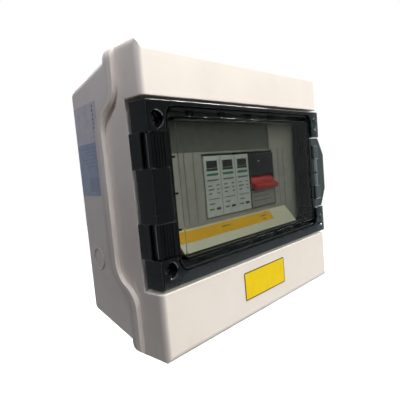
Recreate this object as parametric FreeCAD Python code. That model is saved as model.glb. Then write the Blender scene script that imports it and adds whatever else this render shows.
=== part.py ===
import FreeCAD, Part
import math
import os

# Small wall-mounted DC combiner box: tapered moulded base, moulded front cover with a
# full-width recess, smoked hinged window, device row on a top-hat rail.
# Millimetres. X runs right, Y runs from the front to the wall, Z runs up.
# The origin is the centre of the flat back face, between the four wall holes.

V = FreeCAD.Vector

# Device row: standard rail devices, and the aperture that their noses pass through
MODULE = 18.0
ROW_MODULE_COUNT = 8
NOSE_HEIGHT = 45.0
APERTURE_SLACK = 0.5
APERTURE_NOSE_GAP = 1.3
APERTURE_RISE = 0.5
APERTURE_HALF_X = ROW_MODULE_COUNT * MODULE / 2 + APERTURE_SLACK
APERTURE_HALF_Z = NOSE_HEIGHT / 2 + APERTURE_NOSE_GAP
APERTURE_BELOW = APERTURE_HALF_Z - APERTURE_RISE
APERTURE_ABOVE = APERTURE_HALF_Z + APERTURE_RISE

# Box, overall: the frame and the cover are built out from the row
BOX_DEPTH = 98.0
WINDOW_BAND = 33.4
COVER_BAND = 41.05
COVER_SIDE = 33.5
WINDOW_Z = 5.0
FRAME_HEIGHT = 2 * (APERTURE_HALF_Z + WINDOW_BAND)
COVER_HEIGHT = FRAME_HEIGHT + 2 * COVER_BAND
COVER_WIDTH = 2 * (APERTURE_HALF_X + COVER_SIDE)
COVER_TOP_CORNER_R = 5.0
COVER_BOTTOM_CORNER_R = 3.2
COVER_SIDE_EDGE_R = 3.6
COVER_TOP_EDGE_R = 7.5
COVER_BOTTOM_EDGE_R = 4.5
COVER_WALL = 3.0
RIM_REACH_SIDE = 3.5
RIM_REACH_END = 0.8
RIM_CORNER_R = 10.0
COVER_RIM_THICK = 4.0
BASE_RIM_THICK = 3.8
BASE_INSET_SIDE = 0.5
BASE_INSET_END = 1.25
BASE_TAPER_SIDE = 10.25
BASE_TAPER_END = 10.75
BASE_CORNER_R = 6.0
BASE_BACK_EDGE_R = 3.0
BASE_WALL = 2.6
BASE_FLOOR = 3.0

# Parting line: near the front at the top and bottom, further back along the middle
SEAM_END_DEPTH = 26.1
SEAM_MID_DEPTH = 44.0
SEAM_FLAT_HALF = 42.0
SEAM_RAMP = 30.0
SEAM_CLEARANCE = 0.1
RIM_SEAL_INSET = 1.4
RIM_SEAL_WIDTH = 1.4
RIM_SEAL_HEIGHT = 1.6

# Recess that holds the smoked frame
RECESS_GAP = 1.95
RECESS_HEIGHT = FRAME_HEIGHT + 2 * RECESS_GAP
RECESS_DEPTH = 16.4
RECESS_EDGE_R = 0.8
PANEL_THICK = 3.0

# Fixed smoked frame
FRAME_PROUD = 1.5
FRAME_SIDE_GAP = 1.2
FRAME_HALF_X = COVER_WIDTH / 2 - FRAME_SIDE_GAP
FRAME_HALF_Z = FRAME_HEIGHT / 2
FRAME_SEAT_GAP = 2.4
FRAME_BACK_DEPTH = RECESS_DEPTH - FRAME_SEAT_GAP
FRAME_WALL = 2.4
FRAME_EDGE_R = 0.9
FRAME_TOP_STRIP = 3.1
FRAME_BOTTOM_STRIP = 7.9
COLUMN_WIDTH = 14.0
COLUMN_INNER_X = FRAME_HALF_X - COLUMN_WIDTH
CORNER_BLOCK_HEIGHT = 18.9
BLOCK_INNER_Z = FRAME_HALF_Z - CORNER_BLOCK_HEIGHT
LEDGE_REACH = 8.0
FRAME_LEDGE_THICK = 3.0
LEDGE_DEPTH = FRAME_BACK_DEPTH - FRAME_LEDGE_THICK
LATCH_BED_DEPTH = 8.4

# Hinge: knuckles on the window, pins, and saddles behind them on the frame
HINGE_FROM_SIDE = 5.9
HINGE_X = FRAME_HALF_X - HINGE_FROM_SIDE
HINGE_DEPTH = 5.0
HINGE_END_GAP = 0.5
KNUCKLE_R = 4.5
KNUCKLE_SIDE_GAP = 0.4
KNUCKLE_LENGTH = 20.7
KNUCKLE_OUTER_Z = BLOCK_INNER_Z - KNUCKLE_SIDE_GAP
KNUCKLE_INNER_Z = KNUCKLE_OUTER_Z - KNUCKLE_LENGTH
KNUCKLE_FLOOR_GAP = 0.9
PIN_R = 1.25
PIN_CLEARANCE = 0.05
PIN_BRIDGE_GRIP = 5.0
PIN_BLOCK_GRIP = 2.0
FLUTE_WIDTH = 1.0
FLUTE_DEPTH = 0.8
FLUTE_PITCH = 2.3
FLUTES_OUTSIDE = 1
FLUTES_INSIDE = 3
SADDLE_SIDE_GAP = 0.3
SADDLE_REACH_X = COVER_WIDTH / 2 - SADDLE_SIDE_GAP
SADDLE_WALL_THICK = 1.5
SADDLE_WALL_BEHIND = 1.0
SADDLE_WALL_DEPTH = HINGE_DEPTH + SADDLE_WALL_BEHIND
SADDLE_FLOOR_DEPTH = HINGE_DEPTH + KNUCKLE_R + KNUCKLE_FLOOR_GAP

# Cover screws through the frame's corner wells
SCREW_FROM_SIDE = 7.8
SCREW_FROM_END = 11.4
SCREW_X = FRAME_HALF_X - SCREW_FROM_SIDE
SCREW_Z = FRAME_HALF_Z - SCREW_FROM_END
WELL_R = 4.8
WELL_DEPTH = 9.0
WELL_LIP = 0.6
SCREW_HEAD_R = 4.2
SCREW_HEAD_H = 3.2
SCREW_SHANK_R = 2.0
SCREW_HOLE_R = 2.3
SCREW_SLOT_WIDTH = 1.2
SCREW_SLOT_DEPTH = 1.4
SCREW_CROSS_HALF = 2.5
SCREW_TIP_ROOM = 1.0
SCREW_CLEARANCE = 0.1
SCREW_SEAL_R = 4.4
TUBE_R = 5.0
BOSS_R = 5.0
INSERT_R = 3.1
INSERT_LENGTH = 8.0
INSERT_GAP = 0.5
SCREW_BELOW_INSERT = 2.5
BOSS_FRONT_DEPTH = SEAM_MID_DEPTH + INSERT_GAP
SCREW_TIP_DEPTH = BOSS_FRONT_DEPTH + INSERT_LENGTH + SCREW_BELOW_INSERT

# Hinged smoked window
DOOR_GAP = 0.8
DOOR_SIDE_GAP = 2.6
DOOR_RIM_HALF_X = COLUMN_INNER_X - DOOR_SIDE_GAP
DOOR_RIM_HALF_Z = FRAME_HALF_Z - (FRAME_TOP_STRIP + FRAME_BOTTOM_STRIP) / 2 - DOOR_GAP
DOOR_CENTRE_Z = (FRAME_BOTTOM_STRIP - FRAME_TOP_STRIP) / 2
DOOR_PROUD = 1.5
DOOR_RIM_WALL = 1.2
DOOR_SEAL_ROOM = 2.0
DOOR_RIM_DEPTH = LEDGE_DEPTH - DOOR_SEAL_ROOM
DOOR_RIM_CORNER_R = 7.0
CHANNEL_WIDTH = 4.1
CHANNEL_FLOOR_THICK = 1.6
PANE_WALL = 1.8
PANE_THICK = 2.2
PANE_CORNER_R = 2.0
PANE_EDGE_R = 0.7
RIB_THICK = 1.2
RIB_PITCH = 32.0
RIB_STEPS = 2
SIDE_RIB_PITCH = 23.0
SIDE_RIB_STEPS = 1
RIB_DROP = 1.6
DOOR_ARM_DEPTH = 5.0
SEAL_WIDTH = 4.0
SEAL_GAP = 0.3

# Finger grip and latch hoods on the window's opening side
GRIP_END_GAP = 5.8
GRIP_SLANT = 16.0
GRIP_SHOULDER = 0.7
GRIP_REACH = 9.5
GRIP_ROOT_HALF = BLOCK_INNER_Z - GRIP_END_GAP
GRIP_TIP_HALF = GRIP_ROOT_HALF - GRIP_SLANT
GRIP_SHOULDER_X = FRAME_HALF_X + GRIP_SHOULDER
GRIP_TIP_X = GRIP_SHOULDER_X + GRIP_REACH
GRIP_THICK = 3.0
GRIP_EDGE_R = 1.0
GRIP_BAR_R = 2.6
LATCH_HALF_X = 4.5
LATCH_FROM_SIDE = 7.3
LATCH_FROM_GRIP_END = 7.2
LATCH_LENGTH = 12.6
LATCH_X = FRAME_HALF_X - LATCH_FROM_SIDE
LATCH_OUTER_Z = GRIP_ROOT_HALF - LATCH_FROM_GRIP_END
LATCH_INNER_Z = LATCH_OUTER_Z - LATCH_LENGTH
LATCH_WALL = 1.4
LATCH_CLEARANCE = 0.4
LATCH_PROUD = 1.4
LATCH_EDGE_R = 0.8

# Panel behind the window: sunken field over the row, sloping ledge under it
FIELD_FROM_RIM = 8.2
FIELD_FROM_FRAME_TOP = 10.2
FIELD_ABOVE_APERTURE = 1.0
FIELD_LEFT = FIELD_FROM_RIM - DOOR_RIM_HALF_X
FIELD_RIGHT = 43.5
FIELD_BOTTOM = APERTURE_ABOVE + FIELD_ABOVE_APERTURE
FIELD_TOP = FRAME_HALF_Z - FIELD_FROM_FRAME_TOP
FIELD_SINK = 1.5
SLOPE_FROM_RIM = 10.2
SLOPE_BELOW_APERTURE = 3.7
SLOPE_FROM_FRAME_END = 16.6
SLOPE_LEFT = SLOPE_FROM_RIM - DOOR_RIM_HALF_X
SLOPE_RIGHT = 62.0
SLOPE_TOP = -APERTURE_BELOW - SLOPE_BELOW_APERTURE
SLOPE_BOTTOM = SLOPE_FROM_FRAME_END - FRAME_HALF_Z
SLOPE_RISE = 11.0
SLOPE_HOLLOW_SHIFT = 4.5

# Rail
RAIL_WIDTH = 35.0
RAIL_FLAT = 27.0
RAIL_HEIGHT = 7.5
RAIL_SHEET = 1.0
RAIL_FROM_SIDE = 21.0
RAIL_LENGTH = COVER_WIDTH - 2 * RAIL_FROM_SIDE
RAIL_FROM_BACK = 25.0
RAIL_FACE_DEPTH = BOX_DEPTH - RAIL_FROM_BACK
RAIL_SCREW_FROM_END = 9.0
RAIL_SCREW_X = RAIL_LENGTH / 2 - RAIL_SCREW_FROM_END
RAIL_SCREW_R = 2.0
RAIL_HEAD_R = 3.8
RAIL_HEAD_H = 2.2
RAIL_POST_R = 5.5
RAIL_SCREW_GRIP = 9.0

# Devices on the rail, centred on the row
DEVICE_FACE_DEPTH = 14.5
SHOULDER_DEPTH = 31.0
BREAKER_HEIGHT = 82.0
BREAKER_MODULE_COUNT = 2
SPD_HEIGHT = 88.0
SPD_MODULE_COUNT = 3
DEVICE_ROW_HALF = (BREAKER_MODULE_COUNT + SPD_MODULE_COUNT) * MODULE / 2
SPD_LEFT = -DEVICE_ROW_HALF
BREAKER_LEFT = SPD_LEFT + SPD_MODULE_COUNT * MODULE
SIDE_SLACK = 0.1
CLAW_HEIGHT = 2.4
CLAW_HOOK = 1.6
CLIP_HEIGHT = 3.0
CLIP_LENGTH = 22.0
TERMINAL_R = 2.8
TERMINAL_SINK = 3.0
TERMINAL_HEAD_H = 6.0
TERMINAL_INSET = 7.5
CABLE_ENTRY = 8.0
CARTRIDGE_FROM_RAIL = 16.5
CARTRIDGE_BACK = RAIL_FACE_DEPTH - CARTRIDGE_FROM_RAIL
CARTRIDGE_GAP = 0.2
CARTRIDGE_EDGE_R = 0.5
CARTRIDGE_GRIP_DEPTH = 3.0
CARTRIDGE_GRIP_SIZE = 4.0
CARTRIDGE_GRIP_SINK = 1.2
INDICATOR_WIDTH = 12.0
INDICATOR_HEIGHT = 5.5
INDICATOR_Z = 16.2
INDICATOR_SINK = 0.5
TOGGLE_Z = -2.0
TOGGLE_AXIS_SINK = 4.5
TOGGLE_AXIS_DEPTH = DEVICE_FACE_DEPTH + TOGGLE_AXIS_SINK
TOGGLE_BARREL_R = 5.2
TOGGLE_CLEARANCE = 0.4
TOGGLE_LEVER_LENGTH = 10.5
TOGGLE_LEVER_ROOT = 5.6
TOGGLE_LEVER_TIP = 4.0
TOGGLE_TIP_R = 1.2
TOGGLE_OFF_ANGLE = 24.0
TOGGLE_SLOT_HALF = 6.4
TOGGLE_SIDE_WALL = 1.5
TOGGLE_PIN_R = 1.3
TOGGLE_PIN_INSET = 0.5

# Blanking strips beside the devices
BLANK_LIP = 1.4
BLANK_LIP_THICK = 1.0
BLANK_BODY = 2.4
BLANK_SCORE = 0.4
BLANK_GAP = 0.3

# Earth bar under the devices
EARTH_BAR_LENGTH = 60.0
EARTH_BAR_HEIGHT = 7.0
EARTH_BAR_DEPTH = 9.0
EARTH_FROM_END = 38.25
EARTH_BAR_Z = EARTH_FROM_END - COVER_HEIGHT / 2
EARTH_WIRE_DEPTH = 5.4
EARTH_SCREWS = 6
EARTH_PITCH = 9.0
EARTH_SCREW_R = 2.2
EARTH_SCREW_HEIGHT = 2.0
EARTH_HOLDER_FOOT = 12.0
EARTH_HOLDER_WALL = 2.0
EARTH_HOLDER_LENGTH = 70.0
EARTH_HOLDER_GRIP = 3.0
EARTH_CLEARANCE = 0.1

# Wall holes and cable knock-outs
WALL_HOLE_FROM_SIDE = 26.0
WALL_HOLE_FROM_END = 33.25
WALL_HOLE_X = COVER_WIDTH / 2 - WALL_HOLE_FROM_SIDE
WALL_HOLE_Z = COVER_HEIGHT / 2 - WALL_HOLE_FROM_END
WALL_HOLE_R = 2.6
WALL_COLLAR_R = 6.0
WALL_COLLAR_HEIGHT = 3.0
SIDE_RING_R = 8.7
SIDE_RING_FROM_BACK = 19.0
SIDE_RING_DEPTH = BOX_DEPTH - SIDE_RING_FROM_BACK
SIDE_RING_Z = -41.0
ENTRY_RING_R = 11.0
ENTRY_RING_PITCH = 50.0
ENTRY_RING_FROM_BACK = 36.0
ENTRY_RING_DEPTH = BOX_DEPTH - ENTRY_RING_FROM_BACK
RING_WIDTH = 1.2
RING_HEIGHT = 0.6

# Cutting shapes run past the surface that they open
OVERSHOOT = 1.0
AHEAD = 5.0
FAR = 400.0
TOLERANCE = 0.01

FRONT = -BOX_DEPTH


def at_depth(depth):
    """Y of a plane that lies this far behind the front face of the cover."""
    return FRONT + depth


def box(x0, x1, y0, y1, z0, z1):
    return Part.makeBox(x1 - x0, y1 - y0, z1 - z0, V(x0, y0, z0))


def rod_y(radius, x, z, y0, y1):
    return Part.makeCylinder(radius, y1 - y0, V(x, y0, z), V(0, 1, 0))


def rod_z(radius, x, y, z0, z1):
    return Part.makeCylinder(radius, z1 - z0, V(x, y, z0), V(0, 0, 1))


def rod_x(radius, y, z, x0, x1):
    return Part.makeCylinder(radius, x1 - x0, V(x0, y, z), V(1, 0, 0))


def rounded_wire(half_x, half_z, radius, y, centre_z=0.0):
    """Closed rounded rectangle in the plane Y = y."""
    x_flat = half_x - radius
    z_flat = half_z - radius
    edges = []
    corners = [(1, 1, 0), (-1, 1, 90), (-1, -1, 180), (1, -1, 270)]
    ends = []
    for sign_x, sign_z, start in corners:
        centre = V(sign_x * x_flat, y, centre_z + sign_z * z_flat)
        points = []
        for angle in (start, start + 45, start + 90):
            turn = math.radians(angle)
            points.append(centre + V(radius * math.cos(turn), 0, radius * math.sin(turn)))
        ends.append(points)
    for index, points in enumerate(ends):
        edges.append(Part.Arc(*points).toShape())
        following = ends[(index + 1) % len(ends)][0]
        edges.append(Part.LineSegment(points[2], following).toShape())
    return Part.Wire(edges)


def rounded_block(half_x, half_z, radius, y0, y1, centre_z=0.0):
    face = Part.Face(rounded_wire(half_x, half_z, radius, y0, centre_z))
    return face.extrude(V(0, y1 - y0, 0))


def profile_along_x(points, x0, x1):
    """Extrude a closed outline given as (y, z) pairs."""
    outline = [V(x0, y, z) for y, z in points]
    face = Part.Face(Part.makePolygon(outline + [outline[0]]))
    return face.extrude(V(x1 - x0, 0, 0))


def profile_along_y(points, y0, y1):
    """Extrude a closed outline given as (x, z) pairs."""
    outline = [V(x, y0, z) for x, z in points]
    face = Part.Face(Part.makePolygon(outline + [outline[0]]))
    return face.extrude(V(0, y1 - y0, 0))


def fuse_all(shapes):
    whole = shapes[0]
    if len(shapes) > 1:
        whole = whole.multiFuse(shapes[1:])
    return whole.removeSplitter()


def soften(shape, radius, wanted):
    """Round the edges that the test picks."""
    edges = [edge for edge in shape.Edges if wanted(edge)]
    return shape.makeFillet(radius, edges)


def edge_on_plane_y(edge, y):
    return all(abs(vertex.Y - y) < TOLERANCE for vertex in edge.Vertexes)


def save(name, shape):
    shape.exportStep("parts/" + name + ".step")
    print(name, "solids", len(shape.Solids), "valid", shape.isValid())


def group(shapes):
    return Part.makeCompound(shapes)


# Parting line

def seam_outline(shift):
    """Edges of the parting line in the YZ plane, from the top to the bottom."""
    high = at_depth(SEAM_END_DEPTH) + shift
    deep = at_depth(SEAM_MID_DEPTH) + shift
    step = deep - high
    radius = (SEAM_RAMP ** 2 + step ** 2) / (4 * step)
    half_turn = math.asin(SEAM_RAMP / 2 / radius) / 2
    ramp_outer = SEAM_FLAT_HALF + SEAM_RAMP
    middle_y = (high + deep) / 2
    middle_z = SEAM_FLAT_HALF + SEAM_RAMP / 2
    side_y = radius * (1 - math.cos(half_turn))
    side_z = radius * math.sin(half_turn)
    edges = []
    for sign in (1, -1):
        end = V(-FAR, high, WINDOW_Z + sign * FAR / 2)
        outer = V(-FAR, high, WINDOW_Z + sign * ramp_outer)
        outer_mid = V(-FAR, high + side_y, WINDOW_Z + sign * (ramp_outer - side_z))
        centre = V(-FAR, middle_y, WINDOW_Z + sign * middle_z)
        inner_mid = V(-FAR, deep - side_y, WINDOW_Z + sign * (SEAM_FLAT_HALF + side_z))
        inner = V(-FAR, deep, WINDOW_Z + sign * SEAM_FLAT_HALF)
        half = [
            Part.LineSegment(end, outer).toShape(),
            Part.Arc(outer, outer_mid, centre).toShape(),
            Part.Arc(centre, inner_mid, inner).toShape(),
        ]
        edges.extend(half if sign == 1 else reversed(half))
        if sign == 1:
            other = V(-FAR, deep, WINDOW_Z - SEAM_FLAT_HALF)
            edges.append(Part.LineSegment(inner, other).toShape())
    return edges


def seam_side(shift, far_y):
    """Everything between the parting line, moved by shift, and a far plane."""
    edges = seam_outline(shift)
    y = at_depth(SEAM_END_DEPTH) + shift
    top = V(-FAR, y, WINDOW_Z + FAR / 2)
    bottom = V(-FAR, y, WINDOW_Z - FAR / 2)
    far_bottom = V(-FAR, far_y, WINDOW_Z - FAR / 2)
    far_top = V(-FAR, far_y, WINDOW_Z + FAR / 2)
    edges.append(Part.LineSegment(bottom, far_bottom).toShape())
    edges.append(Part.LineSegment(far_bottom, far_top).toShape())
    edges.append(Part.LineSegment(far_top, top).toShape())
    wire = Part.Wire(Part.__sortEdges__(edges))
    return Part.Face(wire).extrude(V(2 * FAR, 0, 0))


def before_seam(shift):
    return seam_side(shift, -FAR)


def behind_seam(shift):
    return seam_side(shift, FAR)


def rim_block(inset):
    """Block with the outline of the rim, drawn in by the inset."""
    half_x = COVER_WIDTH / 2 + RIM_REACH_SIDE - inset
    half_z = COVER_HEIGHT / 2 + RIM_REACH_END - inset
    return rounded_block(half_x, half_z, RIM_CORNER_R - inset, FRONT, 0)


def seam_band(shape, front_shift, back_shift):
    return shape.common(behind_seam(front_shift)).common(before_seam(back_shift))


def rim_seal_ring():
    return rim_block(RIM_SEAL_INSET).cut(rim_block(RIM_SEAL_INSET + RIM_SEAL_WIDTH))


# Base

def base_share(depth):
    return (depth - SEAM_END_DEPTH) / (BOX_DEPTH - SEAM_END_DEPTH)


def base_half_x(depth):
    share = base_share(depth)
    return COVER_WIDTH / 2 - BASE_INSET_SIDE - share * BASE_TAPER_SIDE


def base_half_z(depth):
    share = base_share(depth)
    return COVER_HEIGHT / 2 - BASE_INSET_END - share * BASE_TAPER_END


def base_taper(inset, depth0, depth1):
    wires = []
    for depth in (depth0, depth1):
        half_x = base_half_x(depth) - inset
        half_z = base_half_z(depth) - inset
        wires.append(rounded_wire(half_x, half_z, BASE_CORNER_R - inset, at_depth(depth)))
    return Part.makeLoft(wires, True, True)


def knock_out_ring(radius, point, normal):
    """Moulded ring that stands a little out of a wall."""
    start = point - normal * RING_HEIGHT
    outer = Part.makeCylinder(radius, 2 * RING_HEIGHT, start, normal)
    inner = Part.makeCylinder(radius - RING_WIDTH, 2 * RING_HEIGHT, start, normal)
    return outer.cut(inner)


def knock_out_rings():
    rings = []
    run = BOX_DEPTH - SEAM_END_DEPTH
    lean = math.atan2(BASE_TAPER_SIDE, run)
    for side in (1, -1):
        normal = V(side * math.cos(lean), math.sin(lean), 0)
        x = side * base_half_x(SIDE_RING_DEPTH)
        point = V(x, at_depth(SIDE_RING_DEPTH), SIDE_RING_Z)
        rings.append(knock_out_ring(SIDE_RING_R, point, normal))
    lean = math.atan2(BASE_TAPER_END, run)
    for side in (1, -1):
        normal = V(0, math.sin(lean), side * math.cos(lean))
        for step in (-1, 0, 1):
            z = side * base_half_z(ENTRY_RING_DEPTH)
            point = V(step * ENTRY_RING_PITCH, at_depth(ENTRY_RING_DEPTH), z)
            rings.append(knock_out_ring(ENTRY_RING_R, point, normal))
    return rings


def screw_places():
    for side in (-1, 1):
        for end in (-1, 1):
            yield side * SCREW_X, WINDOW_Z + end * SCREW_Z


def rail_back_depth():
    return RAIL_FACE_DEPTH + RAIL_HEIGHT


def make_rear_base():
    outer = base_taper(0, SEAM_END_DEPTH, BOX_DEPTH)
    outer = soften(outer, BASE_BACK_EDGE_R, lambda edge: edge_on_plane_y(edge, 0))
    hollow = base_taper(BASE_WALL, SEAM_END_DEPTH - OVERSHOOT, BOX_DEPTH - BASE_FLOOR)
    rim = seam_band(rim_block(0), SEAM_CLEARANCE, BASE_RIM_THICK)
    shell = outer.common(behind_seam(SEAM_CLEARANCE)).fuse(rim).cut(hollow)
    solids = [shell] + knock_out_rings()
    inside = base_taper(BASE_WALL / 2, SEAM_END_DEPTH, BOX_DEPTH - BASE_FLOOR / 2)
    start = BOSS_FRONT_DEPTH
    for x, z in screw_places():
        boss = rod_y(BOSS_R, x, z, at_depth(start), -BASE_FLOOR / 2)
        solids.append(boss.common(inside))
    for side in (-1, 1):
        x = side * RAIL_SCREW_X
        post = rod_y(RAIL_POST_R, x, WINDOW_Z, at_depth(rail_back_depth()), -BASE_FLOOR / 2)
        solids.append(post)
        for end in (-1, 1):
            collar_front = -BASE_FLOOR - WALL_COLLAR_HEIGHT
            x_hole = side * WALL_HOLE_X
            z_hole = end * WALL_HOLE_Z
            solids.append(rod_y(WALL_COLLAR_R, x_hole, z_hole, collar_front, -BASE_FLOOR / 2))
    base = fuse_all(solids)
    cuts = []
    for x, z in screw_places():
        depth = start + INSERT_LENGTH
        cuts.append(rod_y(INSERT_R, x, z, at_depth(start - OVERSHOOT), at_depth(depth)))
        tip = SCREW_TIP_DEPTH + SCREW_TIP_ROOM
        cuts.append(rod_y(SCREW_HOLE_R, x, z, at_depth(start), at_depth(tip)))
    for side in (-1, 1):
        x = side * RAIL_SCREW_X
        seat = at_depth(rail_back_depth())
        cuts.append(rod_y(RAIL_SCREW_R, x, WINDOW_Z, seat - OVERSHOOT,
                          seat + RAIL_SCREW_GRIP + SCREW_TIP_ROOM))
        for end in (-1, 1):
            hole = rod_y(WALL_HOLE_R, side * WALL_HOLE_X, end * WALL_HOLE_Z, FRONT, OVERSHOOT)
            cuts.append(hole)
    return base.cut(group(cuts))


# Front cover

def recess_top():
    return WINDOW_Z + RECESS_HEIGHT / 2


def recess_bottom():
    return WINDOW_Z - RECESS_HEIGHT / 2


def window_ledge():
    """Sloping ledge under the device row that carries the strip label."""
    floor = at_depth(RECESS_DEPTH) + PANEL_THICK / 2
    points = [
        (floor, WINDOW_Z + SLOPE_TOP),
        (at_depth(RECESS_DEPTH), WINDOW_Z + SLOPE_TOP),
        (at_depth(RECESS_DEPTH - SLOPE_RISE), WINDOW_Z + SLOPE_BOTTOM),
        (floor, WINDOW_Z + SLOPE_BOTTOM),
    ]
    return profile_along_x(points, SLOPE_LEFT, SLOPE_RIGHT)


def ledge_hollow():
    """Space under the sloping ledge, open to the inside of the box."""
    back = at_depth(RECESS_DEPTH + PANEL_THICK) + OVERSHOOT
    wall = PANEL_THICK
    shift = SLOPE_HOLLOW_SHIFT
    points = [
        (back, WINDOW_Z + SLOPE_TOP - wall),
        (at_depth(RECESS_DEPTH), WINDOW_Z + SLOPE_TOP - shift),
        (at_depth(RECESS_DEPTH - SLOPE_RISE + shift), WINDOW_Z + SLOPE_BOTTOM + wall),
        (back, WINDOW_Z + SLOPE_BOTTOM + wall),
    ]
    return profile_along_x(points, SLOPE_LEFT + wall, SLOPE_RIGHT - wall)


def on_corner(edge):
    """Edges of a block that run straight back."""
    box_of_edge = edge.BoundBox
    return box_of_edge.XLength < TOLERANCE and box_of_edge.ZLength < TOLERANCE


def cover_form(inset, back):
    """The cover's form drawn in by the inset; each front edge has its own radius."""
    half_x = COVER_WIDTH / 2 - inset
    half_z = COVER_HEIGHT / 2 - inset
    front = at_depth(inset)
    block = box(-half_x, half_x, front, back, -half_z, half_z)
    upright = soften(block, COVER_TOP_CORNER_R - inset,
                     lambda edge: on_corner(edge) and edge.BoundBox.ZMin > 0)
    upright = soften(upright, COVER_BOTTOM_CORNER_R - inset,
                     lambda edge: on_corner(edge) and edge.BoundBox.ZMax < 0)
    lengthwise = soften(block, COVER_TOP_EDGE_R - inset,
                        lambda edge: edge_on_plane_y(edge, front)
                        and edge.BoundBox.ZMin > half_z - TOLERANCE)
    lengthwise = soften(lengthwise, COVER_BOTTOM_EDGE_R - inset,
                        lambda edge: edge_on_plane_y(edge, front)
                        and edge.BoundBox.ZMax < TOLERANCE - half_z)
    crosswise = soften(block, COVER_SIDE_EDGE_R - inset,
                       lambda edge: edge_on_plane_y(edge, front)
                       and edge.BoundBox.XLength < TOLERANCE)
    return upright.common(lengthwise).common(crosswise)


def on_recess_rim(edge):
    """Front edges of the recess, along its top and its bottom."""
    z = edge.BoundBox.ZMin
    on_edge = min(abs(z - recess_top()), abs(z - recess_bottom())) < TOLERANCE
    return on_edge and edge.BoundBox.ZLength < TOLERANCE and edge_on_plane_y(edge, FRONT)


def make_front_cover():
    half_x = COVER_WIDTH / 2
    skirt_end = at_depth(SEAM_MID_DEPTH + COVER_WALL)
    rim = seam_band(rim_block(0), -COVER_RIM_THICK, 0)
    body = cover_form(0, skirt_end).common(before_seam(0)).fuse(rim)
    hollow = cover_form(COVER_WALL, skirt_end + OVERSHOOT)
    panel_back = at_depth(RECESS_DEPTH + PANEL_THICK)
    kept = box(-half_x, half_x, FRONT, panel_back,
               recess_bottom() - COVER_WALL, recess_top() + COVER_WALL)
    body = body.cut(hollow.cut(kept))
    recess = box(-FAR, FAR, at_depth(-AHEAD), at_depth(RECESS_DEPTH),
                 recess_bottom(), recess_top())
    body = soften(body.cut(recess), RECESS_EDGE_R, on_recess_rim)
    solids = [body, window_ledge()]
    for x, z in screw_places():
        tube = rod_y(TUBE_R, x, z, panel_back - OVERSHOOT,
                     at_depth(SEAM_MID_DEPTH - INSERT_GAP))
        solids.append(tube.common(before_seam(0)))
    cover = fuse_all(solids)
    aperture = box(-APERTURE_HALF_X, APERTURE_HALF_X, FRONT, FRONT + BOX_DEPTH / 2,
                   WINDOW_Z - APERTURE_BELOW, WINDOW_Z + APERTURE_ABOVE)
    field = box(FIELD_LEFT, FIELD_RIGHT, FRONT, at_depth(RECESS_DEPTH + FIELD_SINK),
                WINDOW_Z + FIELD_BOTTOM, WINDOW_Z + FIELD_TOP)
    cuts = [aperture, field, ledge_hollow()]
    for x, z in screw_places():
        cuts.append(rod_y(SCREW_HOLE_R, x, z, FRONT, 0))
    cuts.append(seam_band(rim_seal_ring(), -RIM_SEAL_HEIGHT, OVERSHOOT))
    return cover.cut(group(cuts))


def make_rim_seal():
    return seam_band(rim_seal_ring(), -RIM_SEAL_HEIGHT, SEAM_CLEARANCE)


# Smoked frame

def window_block(x0, x1, z0, z1, front, back):
    """Box placed from the window's centre, between two depths."""
    return box(min(x0, x1), max(x0, x1), at_depth(front), at_depth(back),
               WINDOW_Z + min(z0, z1), WINDOW_Z + max(z0, z1))


def hinge_y():
    return at_depth(HINGE_DEPTH)


def pin_reach():
    """Ends of a hinge pin above the window's centre."""
    low = KNUCKLE_INNER_Z - HINGE_END_GAP - PIN_BRIDGE_GRIP
    high = BLOCK_INNER_Z + PIN_BLOCK_GRIP
    return low, high


def pin_rod(radius, sign):
    low, high = pin_reach()
    ends = sorted((WINDOW_Z + sign * low, WINDOW_Z + sign * high))
    return rod_z(radius, -HINGE_X, hinge_y(), ends[0], ends[1])


def hinge_saddle(sign):
    """Fixed cradle behind one hinge knuckle; its foot stands on the recess floor."""
    low = sign * (KNUCKLE_INNER_Z - HINGE_END_GAP)
    high = sign * BLOCK_INNER_Z
    outer = SADDLE_REACH_X
    foot = window_block(-outer, -COLUMN_INNER_X, low, high, SADDLE_FLOOR_DEPTH, RECESS_DEPTH)
    wall = window_block(-outer, SADDLE_WALL_THICK - outer, low, high,
                        SADDLE_WALL_DEPTH, RECESS_DEPTH)
    return foot.fuse(wall)


def latch_lug(sign):
    half_x = LATCH_HALF_X - LATCH_WALL - LATCH_CLEARANCE
    inset = LATCH_WALL + LATCH_CLEARANCE
    front = LATCH_WALL + LATCH_CLEARANCE
    return window_block(LATCH_X - half_x, LATCH_X + half_x, sign * (LATCH_INNER_Z + inset),
                        sign * (LATCH_OUTER_Z - inset), front, LATCH_BED_DEPTH + OVERSHOOT)


def well_lip(x, z):
    """Countersink round the mouth of a screw well."""
    mouth = at_depth(-FRAME_PROUD)
    return Part.makeCone(WELL_R + WELL_LIP + OVERSHOOT, WELL_R, WELL_LIP + OVERSHOOT,
                         V(x, mouth - OVERSHOOT, z), V(0, 1, 0))


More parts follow.
